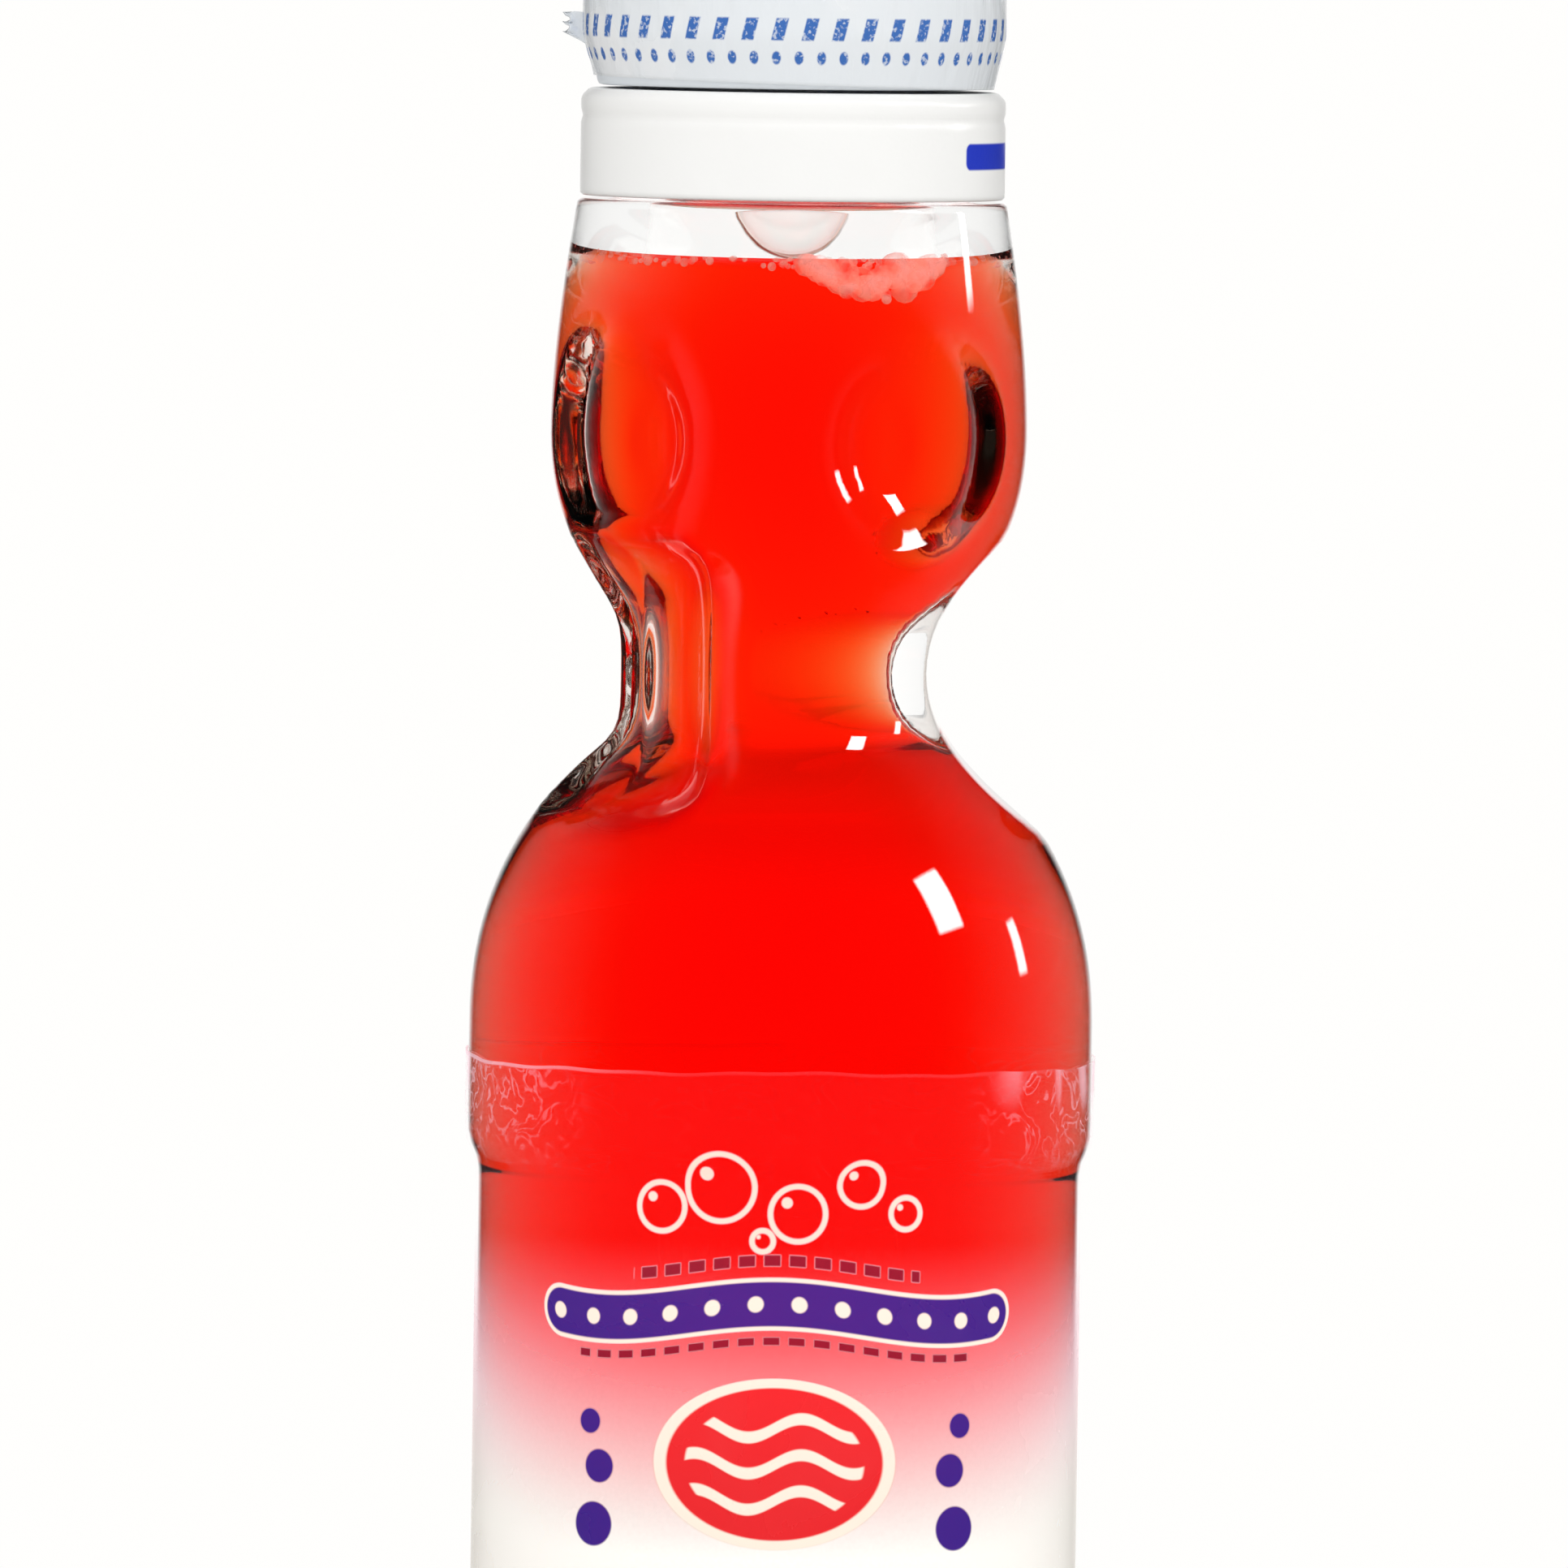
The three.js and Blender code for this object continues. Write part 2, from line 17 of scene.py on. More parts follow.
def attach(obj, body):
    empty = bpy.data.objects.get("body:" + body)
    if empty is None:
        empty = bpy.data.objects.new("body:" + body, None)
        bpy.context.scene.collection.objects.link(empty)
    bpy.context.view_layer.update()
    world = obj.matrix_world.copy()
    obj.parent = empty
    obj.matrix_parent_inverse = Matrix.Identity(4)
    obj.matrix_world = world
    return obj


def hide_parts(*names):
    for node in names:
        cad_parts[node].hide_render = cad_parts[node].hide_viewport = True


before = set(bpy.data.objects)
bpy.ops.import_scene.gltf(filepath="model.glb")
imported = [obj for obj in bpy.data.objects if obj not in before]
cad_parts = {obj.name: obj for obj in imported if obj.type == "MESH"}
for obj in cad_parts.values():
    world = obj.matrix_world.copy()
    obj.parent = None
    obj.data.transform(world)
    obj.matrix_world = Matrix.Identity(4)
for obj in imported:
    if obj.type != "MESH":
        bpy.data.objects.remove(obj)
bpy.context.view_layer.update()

MM = 0.001

# %% [markdown]
# ## The camera
# The photograph looks at the bottle from just above the level of its cap, through a long lens, a little to
# the right of the bottle's front, and the picture leans by less than a degree. A camera could be placed by
# eye, but a distance, two angles and a roll keep it exact: the lens follows from the width of the bottle's
# axis plane that the picture shows.

# %% Camera
AIM_HEIGHT = 124.5 * MM
PICTURE_WIDTH = 149.4 * MM
CAMERA_DISTANCE = 1.8
CAMERA_TURN = math.radians(8.0)
CAMERA_RISE = math.radians(3.0)
CAMERA_ROLL = math.radians(0.81)
SENSOR_WIDTH = 36.0


def direction(turn, rise):
    """The unit vector that lies turn round from the front (-Y) towards +X, and rise above level."""
    level = math.cos(rise)
    return Vector((math.sin(turn) * level, -math.cos(turn) * level, math.sin(rise)))


towards_camera = direction(CAMERA_TURN, CAMERA_RISE)
camera = bpy.data.objects.new("camera", bpy.data.cameras.new("camera"))
bpy.context.scene.collection.objects.link(camera)
camera.location = Vector((0, 0, AIM_HEIGHT)) + towards_camera * CAMERA_DISTANCE
camera.rotation_mode = "QUATERNION"
camera.rotation_quaternion = (-towards_camera).to_track_quat("-Z", "Y") @ Quaternion((0, 0, 1), CAMERA_ROLL)
camera.data.sensor_width = SENSOR_WIDTH
camera.data.lens = SENSOR_WIDTH * CAMERA_DISTANCE / PICTURE_WIDTH
bpy.context.scene.camera = camera
print("lens in mm:", round(camera.data.lens, 1))

# %% [markdown]
# ## Surfaces on grids
# Almost everything here was turned, blown or moulded round one axis. A Screw modifier could spin a drawn
# outline, but the dents in the glass and the creases in the films have to change the radius at each angle.
# So a piece is a grid of points: rows follow its outline, columns run round the axis, and numpy works out
# the whole grid at once. Rows that meet on the axis are welded to one point afterwards.

# %% From grids to a mesh
WELD = 1e-6


def grid_faces(rows, columns, is_round):
    """Four corners for each cell of a grid, counter-clockwise seen from outside."""
    index = np.arange(rows * columns).reshape(rows, columns)
    right = np.roll(index, -1, axis=1)
    cells = np.stack([index[:-1], right[:-1], right[1:], index[1:]], axis=-1)
    return cells.reshape(-1, 4) if is_round else cells[:, :-1].reshape(-1, 4)


def piece_from_grids(name, grids, is_round=True, is_shut=True):
    """One object from grids of points in metres. Shut surfaces are welded and turned outwards."""
    points, faces, start = [], [], 0
    for grid in grids:
        rows, columns, _ = grid.shape
        points.append(grid.reshape(-1, 3))
        faces.append(grid_faces(rows, columns, is_round) + start)
        start += rows * columns
    mesh = bpy.data.meshes.new(name)
    mesh.from_pydata(np.concatenate(points).tolist(), [], np.concatenate(faces).tolist())
    work = bmesh.new()
    work.from_mesh(mesh)
    bmesh.ops.remove_doubles(work, verts=work.verts, dist=WELD)
    if is_shut:
        bmesh.ops.recalc_face_normals(work, faces=work.faces)
    work.to_mesh(mesh)
    work.free()
    mesh.polygons.foreach_set("use_smooth", np.ones(len(mesh.polygons), dtype=bool))
    piece = bpy.data.objects.new(name, mesh)
    bpy.context.scene.collection.objects.link(piece)
    return piece


def seat(piece, body, node):
    """The piece stands for a CAD node, whose own part is hidden, and rides on its body."""
    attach(piece, body)
    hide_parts(node)
    print(f"{piece.name}: {len(piece.data.polygons)} faces, stands for {node} on {body}")


print("faces of a ring with 3 rows of 4 points:", len(grid_faces(3, 4, True)))

# %% Outlines
ROW_STEP = 1.25
FINE_STEP = 0.25


def bezier(*handles, steps=24):
    """A Bezier curve: each handle counts by the binomial share of the way gone and the way left."""
    handles = np.array(handles, dtype=float)
    degree = len(handles) - 1
    gone = np.linspace(0, 1, steps)[:, None]
    power = np.arange(degree + 1)
    binomial = np.array([math.comb(degree, k) for k in power])
    return (binomial * gone**power * (1 - gone) ** (degree - power)) @ handles


def even_steps(path, step):
    """The same path walked in equal steps of its own length."""
    length = np.concatenate([[0], np.cumsum(np.hypot(*np.diff(path, axis=0).T))])
    stops = np.linspace(0, length[-1], int(np.ceil(length[-1] / step)) + 1)
    return np.column_stack([np.interp(stops, length, path[:, 0]), np.interp(stops, length, path[:, 1])])


def softened(corners, blur, step=ROW_STEP):
    """A path with melted corners: each point is the bell-weighted mean of its neighbours along the path."""
    path = even_steps(np.vstack(corners), FINE_STEP)
    reach = int(np.ceil(3 * blur / FINE_STEP))
    bell = np.exp(-0.5 * (np.arange(-reach, reach + 1) * FINE_STEP / blur) ** 2)
    padded = np.pad(path, ((reach, reach), (0, 0)), mode="reflect", reflect_type="odd")
    smooth = [np.convolve(padded[:, axis], bell / bell.sum(), mode="valid") for axis in (0, 1)]
    return even_steps(np.column_stack(smooth), step)


def ring_of(columns):
    """Equal angles once round the axis, from the front."""
    return np.linspace(0, 2 * np.pi, columns, endpoint=False)


def turned(radius, angle, height):
    """Points in metres at a radius, an angle round from the front, and a height, all in millimetres."""
    radius, angle, height = np.broadcast_arrays(radius, angle, height)
    return np.stack([radius * np.sin(angle), -radius * np.cos(angle), height], axis=-1) * MM


print("an outline has a row every", ROW_STEP, "mm, and is softened in steps of", FINE_STEP, "mm")

# %% [markdown]
# ## The glass
# The bottle is pressed glass with a thick wall. Its outside has a recessed panel for the label, a full
# shoulder, an oval waist with two flats, a ball chamber with two dimples, and a beaded finish under the cap.
# The inside follows it with a body, a waist, a chamber and a throat. Both walls are outlines of straight
# lines and Bezier curves. A Bevel modifier could round their corners, but its even arcs look machined.
# Blurring an outline along its length gives every corner the soft turn of fire-polished glass. The finish
# is pressed sharper, so it is blurred less.

# %% Stations and curves of the glass
BODY, PANEL, WAIST, CHAMBER, NECK, FINISH = 29.7, 28.6, 15.6, 22.7, 20.4, 16.6
INNER_BODY, INNER_WAIST, INNER_CHAMBER, BORE = 23.4, 11.4, 18.9, 13.4
HEEL_TOP, BAND_TOP, PANEL_LOW, PANEL_HIGH, BAND_LOW = 6.0, 13.0, 16.0, 88.0, 91.0
SHOULDER_LOW, WAIST_LOW, WAIST_HIGH, CHAMBER_MIDDLE, NECK_TOP, RIM = 102.9, 129.2, 140.4, 157.5, 180.1, 188.3
PUNT, STAND_INSIDE, STAND_OUTSIDE, FLOOR, FLOOR_CORNER = 3.5, 19.0, 25.0, 12.5, 9.0
BEAD, BEAD_LOW, BEAD_HIGH = 17.8, 184.5, 186.9
SHOULDER_CURVE, BULB_CURVE = (0.446, 0.557, 0.176), (0.217, 0.473, 0.462)
NECK_CURVE, THROAT_CURVE = (0.354, 0.434, 0.264), (0.55, 0.0, 0.25)


def rise(radius_from, height_from, radius_to, height_to, curve):
    """A curve of the wall that slants at its narrow end and stands upright at its wide end."""
    low, out, high = curve
    width, height = radius_to - radius_from, height_to - height_from
    first = radius_from + (out * width if width > 0 else 0)
    second = radius_to - (out * width if width < 0 else 0)
    handles = (radius_from, height_from), (first, height_from + low * height)
    return bezier(*handles, (second, height_to - high * height), (radius_to, height_to))


def waisted(body, waist, chamber):
    """The wall from the top of the body, through the waist, to the middle of the ball chamber."""
    shoulder = rise(body, SHOULDER_LOW, waist, WAIST_LOW, SHOULDER_CURVE)
    return np.vstack([shoulder, rise(waist, WAIST_HIGH, chamber, CHAMBER_MIDDLE, BULB_CURVE)])


def body_wall(offset, low, high):
    """The outside of the body between two heights: a band, a step in, the label panel, a step out, a band."""
    band, panel, half = BODY + offset, PANEL + offset, (PANEL_LOW - BAND_TOP) / 2
    step_in = bezier((band, BAND_TOP), (band, BAND_TOP + half), (panel, PANEL_LOW - half), (panel, PANEL_LOW))
    leaving, reaching = (panel, PANEL_HIGH + half), (band, BAND_LOW - half)
    step_out = bezier((panel, PANEL_HIGH), leaving, reaching, (band, BAND_LOW))
    return np.vstack([[[band, low]], step_in, step_out, [[band, high]]])


print("the glass is", RIM, "mm tall and", 2 * BODY, "mm wide")

# %% Outline of the glass
GLASS_SOFTNESS, WAIST_SOFTNESS, BORE_SOFTNESS = 0.8, 1.6, 2.5
FINISH_SOFTNESS, FINISH_STEP = 0.25, 0.5

rim_middle = [[(FINISH + BORE) / 2, RIM]]
below_finish = softened(
    [
        bezier((0, PUNT), (STAND_INSIDE, PUNT), (STAND_INSIDE, 0)),
        bezier((STAND_OUTSIDE, 0), (BODY, 0), (BODY, HEEL_TOP)),
        body_wall(0, HEEL_TOP, SHOULDER_LOW),
        softened([waisted(BODY, WAIST, CHAMBER)], WAIST_SOFTNESS, FINE_STEP),
        rise(CHAMBER, CHAMBER_MIDDLE, NECK, NECK_TOP, NECK_CURVE),
    ],
    GLASS_SOFTNESS,
)
finish = softened(
    [
        below_finish[-2:],
        [[FINISH, NECK_TOP], [FINISH, BEAD_LOW]],
        bezier((FINISH, BEAD_LOW), (BEAD, BEAD_LOW), (BEAD, (BEAD_LOW + BEAD_HIGH) / 2)),
        bezier((BEAD, (BEAD_LOW + BEAD_HIGH) / 2), (BEAD, BEAD_HIGH), (FINISH, BEAD_HIGH)),
        [[FINISH, RIM]],
        rim_middle,
    ],
    FINISH_SOFTNESS,
    FINISH_STEP,
)
outside = np.vstack([below_finish[:-2], finish])
inside = softened(
    [
        [[0, FLOOR]],
        bezier((INNER_BODY - FLOOR_CORNER, FLOOR), (INNER_BODY, FLOOR), (INNER_BODY, FLOOR + FLOOR_CORNER)),
        softened([waisted(INNER_BODY, INNER_WAIST, INNER_CHAMBER)], BORE_SOFTNESS, FINE_STEP),
        rise(INNER_CHAMBER, CHAMBER_MIDDLE, BORE, NECK_TOP, THROAT_CURVE),
        [[BORE, RIM]],
        rim_middle,
    ],
    GLASS_SOFTNESS,
)
print("outline rows outside and inside:", len(outside), len(inside))

# %% [markdown]
# ### Dimples and flats
# Two round dimples above the waist catch the marble while the bottle is tipped to pour. Two flats pinch the
# waist, outside and inside, so that the marble can't fall through, and a groove runs down the left one. All
# could be sculpted, but rules about the radius keep their sizes exact: a dimple takes away depth that fades
# towards its edge, and a flat is a plane that the radius may not pass, with a soft minimum where plane and
# wall meet. Each flat is listed with its angle, its reach, how far and how steeply it swells, and its
# groove's depth.

# %% Rules for the radius
DIMPLES = np.radians([-41.0, 41.0])
DIMPLE_HALF_ANGLE, DIMPLE_HALF_HEIGHT = math.radians(33.0), 12.5
DIMPLE_DEPTH, DIMPLE_FLOOR = 5.0, 0.25
FLAT_MIDDLE, FLAT_HALF_HEIGHT = 135.6, 18.0
OUTER_FLATS, OUTER_BLEND = ((-50.0, 15.3, 34.0, 6, 1.8), (98.0, 13.4, 15.4, 2, 0.0)), 0.8
INNER_FLATS, INNER_BLEND = ((-50.0, 11.6, 30.0, 6, 0.0), (123.0, 3.5, 26.0, 2, 0.0)), 1.2
GROOVE_MIDDLE, GROOVE_HALF_WIDTH = 5.4, 6.0
LEAST_FACING = 0.05


def ease(value, low, high):
    """The smoothstep from 0 at low to 1 at high."""
    share = np.clip((value - low) / (high - low), 0, 1)
    return share * share * (3 - 2 * share)


def turn_between(angle, middle):
    """How far an angle lies from another, the short way round."""
    return (angle - middle + np.pi) % (2 * np.pi) - np.pi


def dimpled(radius, angle, height):
    """The radius less both dimples: full depth on the floor of each, easing to none at its oval edge."""
    for middle in DIMPLES:
        across = turn_between(angle, middle) / DIMPLE_HALF_ANGLE
        along = (height - CHAMBER_MIDDLE) / DIMPLE_HALF_HEIGHT
        radius = radius - DIMPLE_DEPTH * (1 - ease(np.hypot(across, along), DIMPLE_FLOOR, 1))
    return np.maximum(radius, 0)


def flattened(radius, angle, height, flats, blend):
    """The radius held inside planes that roll outwards above and below, by a polynomial soft minimum.

    A plane stands at its nearest reach plus a swell times a power of the height from its middle, less a
    groove that is a parabola across the plane.
    """
    lift = np.abs(height - FLAT_MIDDLE) / FLAT_HALF_HEIGHT
    for middle, nearest, swell, power, groove in flats:
        turn = turn_between(angle, math.radians(middle))
        facing = np.maximum(np.cos(turn), LEAST_FACING)
        across = (nearest * np.sin(turn) / facing - GROOVE_MIDDLE) / GROOVE_HALF_WIDTH
        reach = (nearest + swell * lift**power - groove * np.maximum(1 - across**2, 0)) / facing
        share = np.clip(0.5 + 0.5 * (reach - radius) / blend, 0, 1)
        radius = reach + (radius - reach) * share - blend * share * (1 - share)
    return radius


print("dimples and flats:", len(DIMPLES), len(OUTER_FLATS))

# %% Press the glass
WAIST_FRONT, INNER_WAIST_FRONT = 20.0, 15.8
OUTER_FRONT, INNER_FRONT = (BODY, WAIST_FRONT, CHAMBER), (INNER_BODY, INNER_WAIST_FRONT, INNER_CHAMBER)
WAIST_MIDDLE = (WAIST_LOW + WAIST_HIGH) / 2
ROW_BLUR = np.array([1, 4, 6, 4, 1]) / 16
GLASS_COLUMNS = 224
glass_angle = ring_of(GLASS_COLUMNS)[None, :]


def deepened(path, front):
    """Radii and angles of an outline all round, where the waist is an oval, deeper than it is wide.

    Between shoulder and chamber the front of the wall follows its own eased curve through three reaches. The
    oval's depth over its width is that reach over the outline's radius, at least 1, blurred over a few rows.
    """
    body, waist, chamber = front
    width, height = path[:, 0], path[:, 1]
    below = body + (waist - body) * ease(height, SHOULDER_LOW, WAIST_MIDDLE)
    over = waist + (chamber - waist) * ease(height, WAIST_MIDDLE, CHAMBER_MIDDLE)
    reach = np.where(height < WAIST_MIDDLE, below, over)
    is_waist = (height > SHOULDER_LOW) & (height < CHAMBER_MIDDLE)
    depth = np.where(is_waist, np.maximum(reach / np.maximum(width, 1), 1), 1)
    depth = np.convolve(np.pad(depth, len(ROW_BLUR) // 2, mode="edge"), ROW_BLUR, mode="valid")[:, None]
    sideways, forwards = np.sin(glass_angle), depth * np.cos(glass_angle)
    return path[:, :1] * np.hypot(sideways, forwards), np.arctan2(sideways, forwards)


def pressed(path, front, flats, blend):
    """Radii and angles of an outline all round, deepened, dimpled and flattened. Points on the axis stay."""
    radius, angle = deepened(path, front)
    radius = flattened(dimpled(radius, angle, path[:, 1:]), angle, path[:, 1:], flats, blend)
    return np.where(path[:, :1] > WELD, radius, 0), angle


outer_grid = turned(*pressed(outside, OUTER_FRONT, OUTER_FLATS, OUTER_BLEND), outside[:, 1:])
inner_grid = turned(*pressed(inside, INNER_FRONT, INNER_FLATS, INNER_BLEND), inside[:, 1:])
glass_grid = np.concatenate([outer_grid, inner_grid[-2::-1]])
bottle_wall = piece_from_grids("bottle_wall", [glass_grid])
seat(bottle_wall, "bottle", "glass_bottle")

# %% [markdown]
# ## The soda
# The drink fills the glass to the foot of the neck. Light has to bend once between glass and soda, and a
# mesh that only touched the glass would leave a film of air that throws the light back. So the soda reaches
# a fraction of a millimetre into the wall: the two bends that follow each other then add up to the right
# one. Its top rises in a small meniscus where it wets the glass, and ripples slightly.

# %% Soda
SODA_LEVEL, SODA_OVERLAP = 174.1, 0.15
MENISCUS_RISE, MENISCUS_WIDTH = 1.2, 1.2
RIPPLE = 0.12
SURFACE_ROWS, SURFACE_CROWDING = 40, 0.7

wet = inside[inside[:, 1] < SODA_LEVEL + MENISCUS_RISE]
along = np.gradient(wet, axis=0)
outwards = np.column_stack([along[:, 1], -along[:, 0]]) / np.hypot(*along.T)[:, None]
wet = wet + SODA_OVERLAP * outwards
wet[0, 0] = 0
wet_flats = [(turn, nearest + SODA_OVERLAP, *rest) for turn, nearest, *rest in INNER_FLATS]
wet_front = tuple(reach + SODA_OVERLAP for reach in INNER_FRONT)
wet_radius, wet_angle = pressed(wet, wet_front, wet_flats, INNER_BLEND)
inwards = np.linspace(1, 0, SURFACE_ROWS + 1)[1:, None] ** SURFACE_CROWDING
surface_radius = wet_radius[-1:] * inwards
to_wall = wet_radius[-1:] - surface_radius
top_height = wet[-1, 1]
surface_height = SODA_LEVEL + (top_height - SODA_LEVEL) * np.exp(-to_wall / MENISCUS_WIDTH)

# Two sines multiplied ripple the surface, most half way from its middle to the glass
ripple = np.sin(0.55 * surface_radius + 2 * glass_angle) * np.sin(3 * glass_angle + 0.4)
surface_height = surface_height + RIPPLE * ripple * inwards * (1 - inwards) * 4
soda_grid = np.concatenate(
    [turned(wet_radius, wet_angle, wet[:, 1:]), turned(surface_radius, glass_angle, surface_height)]
)
soda_grid[-1] = soda_grid[-1].mean(axis=0)
soda_fill = piece_from_grids("soda_fill", [soda_grid])
seat(soda_fill, "bottle", "soda")

# %% [markdown]
# A fizzy drink keeps a collar of small bubbles where its surface meets the glass, and here a raft of larger
# ones hangs below the surface at the front right. Particles could scatter them, but whole arrays of chance
# numbers are simpler, and a fixed seed gives the same froth on every run. Each bubble is a sphere that leans
# on the wall.

# %% Froth
RING_BUBBLES, RING_SIZES, RING_DROPS = 170, (0.18, 0.42), (0.1, 0.9)
RAFT_BUBBLES, RAFT_SIZES, RAFT_DROP, RAFT_DEPTH = 80, (0.4, 1.3), 0.3, 3.4
RAFT_TURN, RAFT_SPREAD = math.radians(38.0), math.radians(27.0)
BUBBLE_LEAN, BALL_ROWS, BALL_COLUMNS = 0.95, 7, 9
FROTH_SEED = 7

luck = np.random.default_rng(FROTH_SEED)
ring_turn = luck.uniform(-np.pi, np.pi, RING_BUBBLES)
ring_height = top_height - luck.uniform(*RING_DROPS, RING_BUBBLES)
sideways = luck.uniform(-1, 1, RAFT_BUBBLES)
raft_turn = RAFT_TURN + sideways * RAFT_SPREAD
raft_height = top_height - RAFT_DROP - RAFT_DEPTH * (1 - sideways**2) * luck.uniform(0, 1, RAFT_BUBBLES)
froth_turn = np.concatenate([ring_turn, raft_turn])
froth_height = np.concatenate([ring_height, raft_height])
ring_size = luck.uniform(*RING_SIZES, RING_BUBBLES)
froth_size = np.concatenate([ring_size, luck.uniform(*RAFT_SIZES, RAFT_BUBBLES)])
throat = inside[inside[:, 1] > CHAMBER_MIDDLE]
froth_radius = np.interp(froth_height, throat[:, 1], throat[:, 0]) - BUBBLE_LEAN * froth_size
ball_tilt = np.linspace(-np.pi / 2, np.pi / 2, BALL_ROWS)[:, None]
ball = turned(np.cos(ball_tilt), ring_of(BALL_COLUMNS)[None, :], np.sin(ball_tilt))
centres = turned(froth_radius, froth_turn, froth_height)
froth_grids = centres[:, None, None] + froth_size[:, None, None, None] * ball
soda_froth = piece_from_grids("soda_froth", list(froth_grids))
seat(soda_froth, "bottle", "soda")

# %% [markdown]
# ## The label sleeve
# A tube of thin film is shrunk on to the body, so it follows the panel, laps on to both bands, and puckers
# where it had the most to shrink. Cloth could be simulated, but film this tight has nowhere to hang. So the
# tube is one sheet that keeps a small clearance to the glass, with a Solidify modifier. Sine waves round the
# bottle make its cut edge uneven and raise the puckers below it.

# %% Label sleeve
LABEL_LOW, LABEL_HIGH = 9.0, 99.1
LABEL_CLEARANCE, FILM_THICKNESS, LABEL_SOFTNESS = 0.28, 0.2, 0.6
PUCKER_HEIGHT, PUCKER_LOW = 0.11, 89.0
EDGE_WANDER, EDGE_WAVES = 0.7, ((3, 0.9, 1.0), (8, 0.0, 0.5), (21, 2.0, 0.3))
LABEL_COLUMNS = 320


def pucker(angle, height):
    """Low folds from 0 to 1: a sine whose phase slower sines swing, squared, strongest right and left."""
    swing = 5 * np.sin(2 * angle + 0.6) + 2.5 * np.sin(7 * angle) + 0.16 * height * np.sin(3 * angle)
    return (0.5 + 0.5 * np.sin(26 * angle + swing)) ** 2 * (0.35 + 0.65 * np.sin(angle) ** 2)


label_path = softened([body_wall(LABEL_CLEARANCE, LABEL_LOW, LABEL_HIGH)], LABEL_SOFTNESS)
label_angle = ring_of(LABEL_COLUMNS)[None, :]
near_top = ease(label_path[:, 1:], PUCKER_LOW, LABEL_HIGH)
folds = near_top * pucker(label_angle, label_path[:, 1:])
wander = sum(size * np.sin(count * label_angle + phase) for count, phase, size in EDGE_WAVES)
wander_most = sum(size for _, _, size in EDGE_WAVES)
label_height = label_path[:, 1:] + EDGE_WANDER * near_top * (wander / wander_most - 1) / 2
label_grid = turned(label_path[:, :1] + PUCKER_HEIGHT * folds, label_angle, label_height)
label_film = piece_from_grids("label_film", [label_grid], is_shut=False)


def store(piece, name, values):
    """Keeps one number for each point of a piece, for its material to read."""
    kept = piece.data.attributes.new(name, "FLOAT", "POINT")
    kept.data.foreach_set("value", values.ravel())


store(label_film, "from_edge", np.broadcast_to(label_path[-1, 1] - label_path[:, 1:], folds.shape))
store(label_film, "folds", folds)


def thicken(piece, thickness, inner_material=0):
    """Gives a sheet its thickness on the inside, and its inner face another of its materials if asked to."""
    shell = piece.modifiers.new("thickness", "SOLIDIFY")
    shell.thickness = thickness * MM
    shell.offset = -1
    shell.material_offset = inner_material


thicken(label_film, FILM_THICKNESS, inner_material=1)
seat(label_film, "bottle", "label_sleeve")

# %% [markdown]
# ## Marble and gasket
# Gas pressure holds the marble up against a rubber gasket, and that is the whole seal. Blender's own sphere
# would do for a marble, but a moulded one keeps a faint seam and the scar where its gob of glass was cut. So
# it is a grid whose radius dips along one great circle and at one spot. The gasket is a turned ring whose
# lower inside edge is cut to the marble.

# %% Marble
MARBLE, MARBLE_HEIGHT = 8.4, 184.683
SEAM_DEPTH, SEAM_WIDTH, SEAM_TURN = 0.05, 0.035, 0.5
SCAR_DEPTH, SCAR_WIDTH, SCAR_TURN, SCAR_RISE = 0.16, 0.22, 2.1, (0.8, 0.6)
MARBLE_ROWS, MARBLE_COLUMNS = 64, 128

tilt = np.linspace(-np.pi / 2, np.pi / 2, MARBLE_ROWS)[:, None]
spin = ring_of(MARBLE_COLUMNS)[None, :]
across = np.cos(tilt) * np.cos(spin - SEAM_TURN)
along_scar = np.cos(tilt) * np.cos(spin - SCAR_TURN) * SCAR_RISE[0] + np.sin(tilt) * SCAR_RISE[1]
from_scar = np.arccos(np.clip(along_scar, -1, 1))
marble_radius = MARBLE - SEAM_DEPTH * np.exp(-((across / SEAM_WIDTH) ** 2))
marble_radius = marble_radius - SCAR_DEPTH * np.exp(-((from_scar / SCAR_WIDTH) ** 2))
marble_grid = turned(marble_radius * np.cos(tilt), spin, MARBLE_HEIGHT + marble_radius * np.sin(tilt))
glass_marble = piece_from_grids("glass_marble", [marble_grid])
seat(glass_marble, "marble", "marble")

# %% Gasket
GASKET, GASKET_BORE, GASKET_LOW, GASKET_HIGH, GASKET_START = 9.6, 6.5, 188.6, 190.8, 9.0
SEAT_RADIUS, SEAT_EDGE, SEAT_POINTS = 8.55, 7.6, 6
GASKET_SOFTNESS, GASKET_STEP = 0.12, 0.2
CLOSURE_COLUMNS, CLOSURE_STEP = 160, 0.35
closure_angle = ring_of(CLOSURE_COLUMNS)[None, :]


def ring_piece(name, corners, blur, step=CLOSURE_STEP):
    """A ring turned from a shut outline, given by its corners in order from the middle of a straight side."""
    path = softened([corners, corners[:1]], blur, step)
    return piece_from_grids(name, [turned(path[:, :1], closure_angle, path[:, 1:])])


contact = np.linspace(math.acos(GASKET_BORE / SEAT_RADIUS), math.acos(SEAT_EDGE / SEAT_RADIUS), SEAT_POINTS)
seat_zone = np.column_stack([SEAT_RADIUS * np.cos(contact), MARBLE_HEIGHT + SEAT_RADIUS * np.sin(contact)])
gasket_sides = np.array(
    [[GASKET_START, GASKET_LOW], [GASKET, GASKET_LOW], [GASKET, GASKET_HIGH], [GASKET_BORE, GASKET_HIGH]]
)
gasket_corners = np.vstack([gasket_sides, seat_zone])
rubber_gasket = ring_piece("rubber_gasket", gasket_corners, GASKET_SOFTNESS, GASKET_STEP)
seat(rubber_gasket, "bottle", "mouth_gasket")

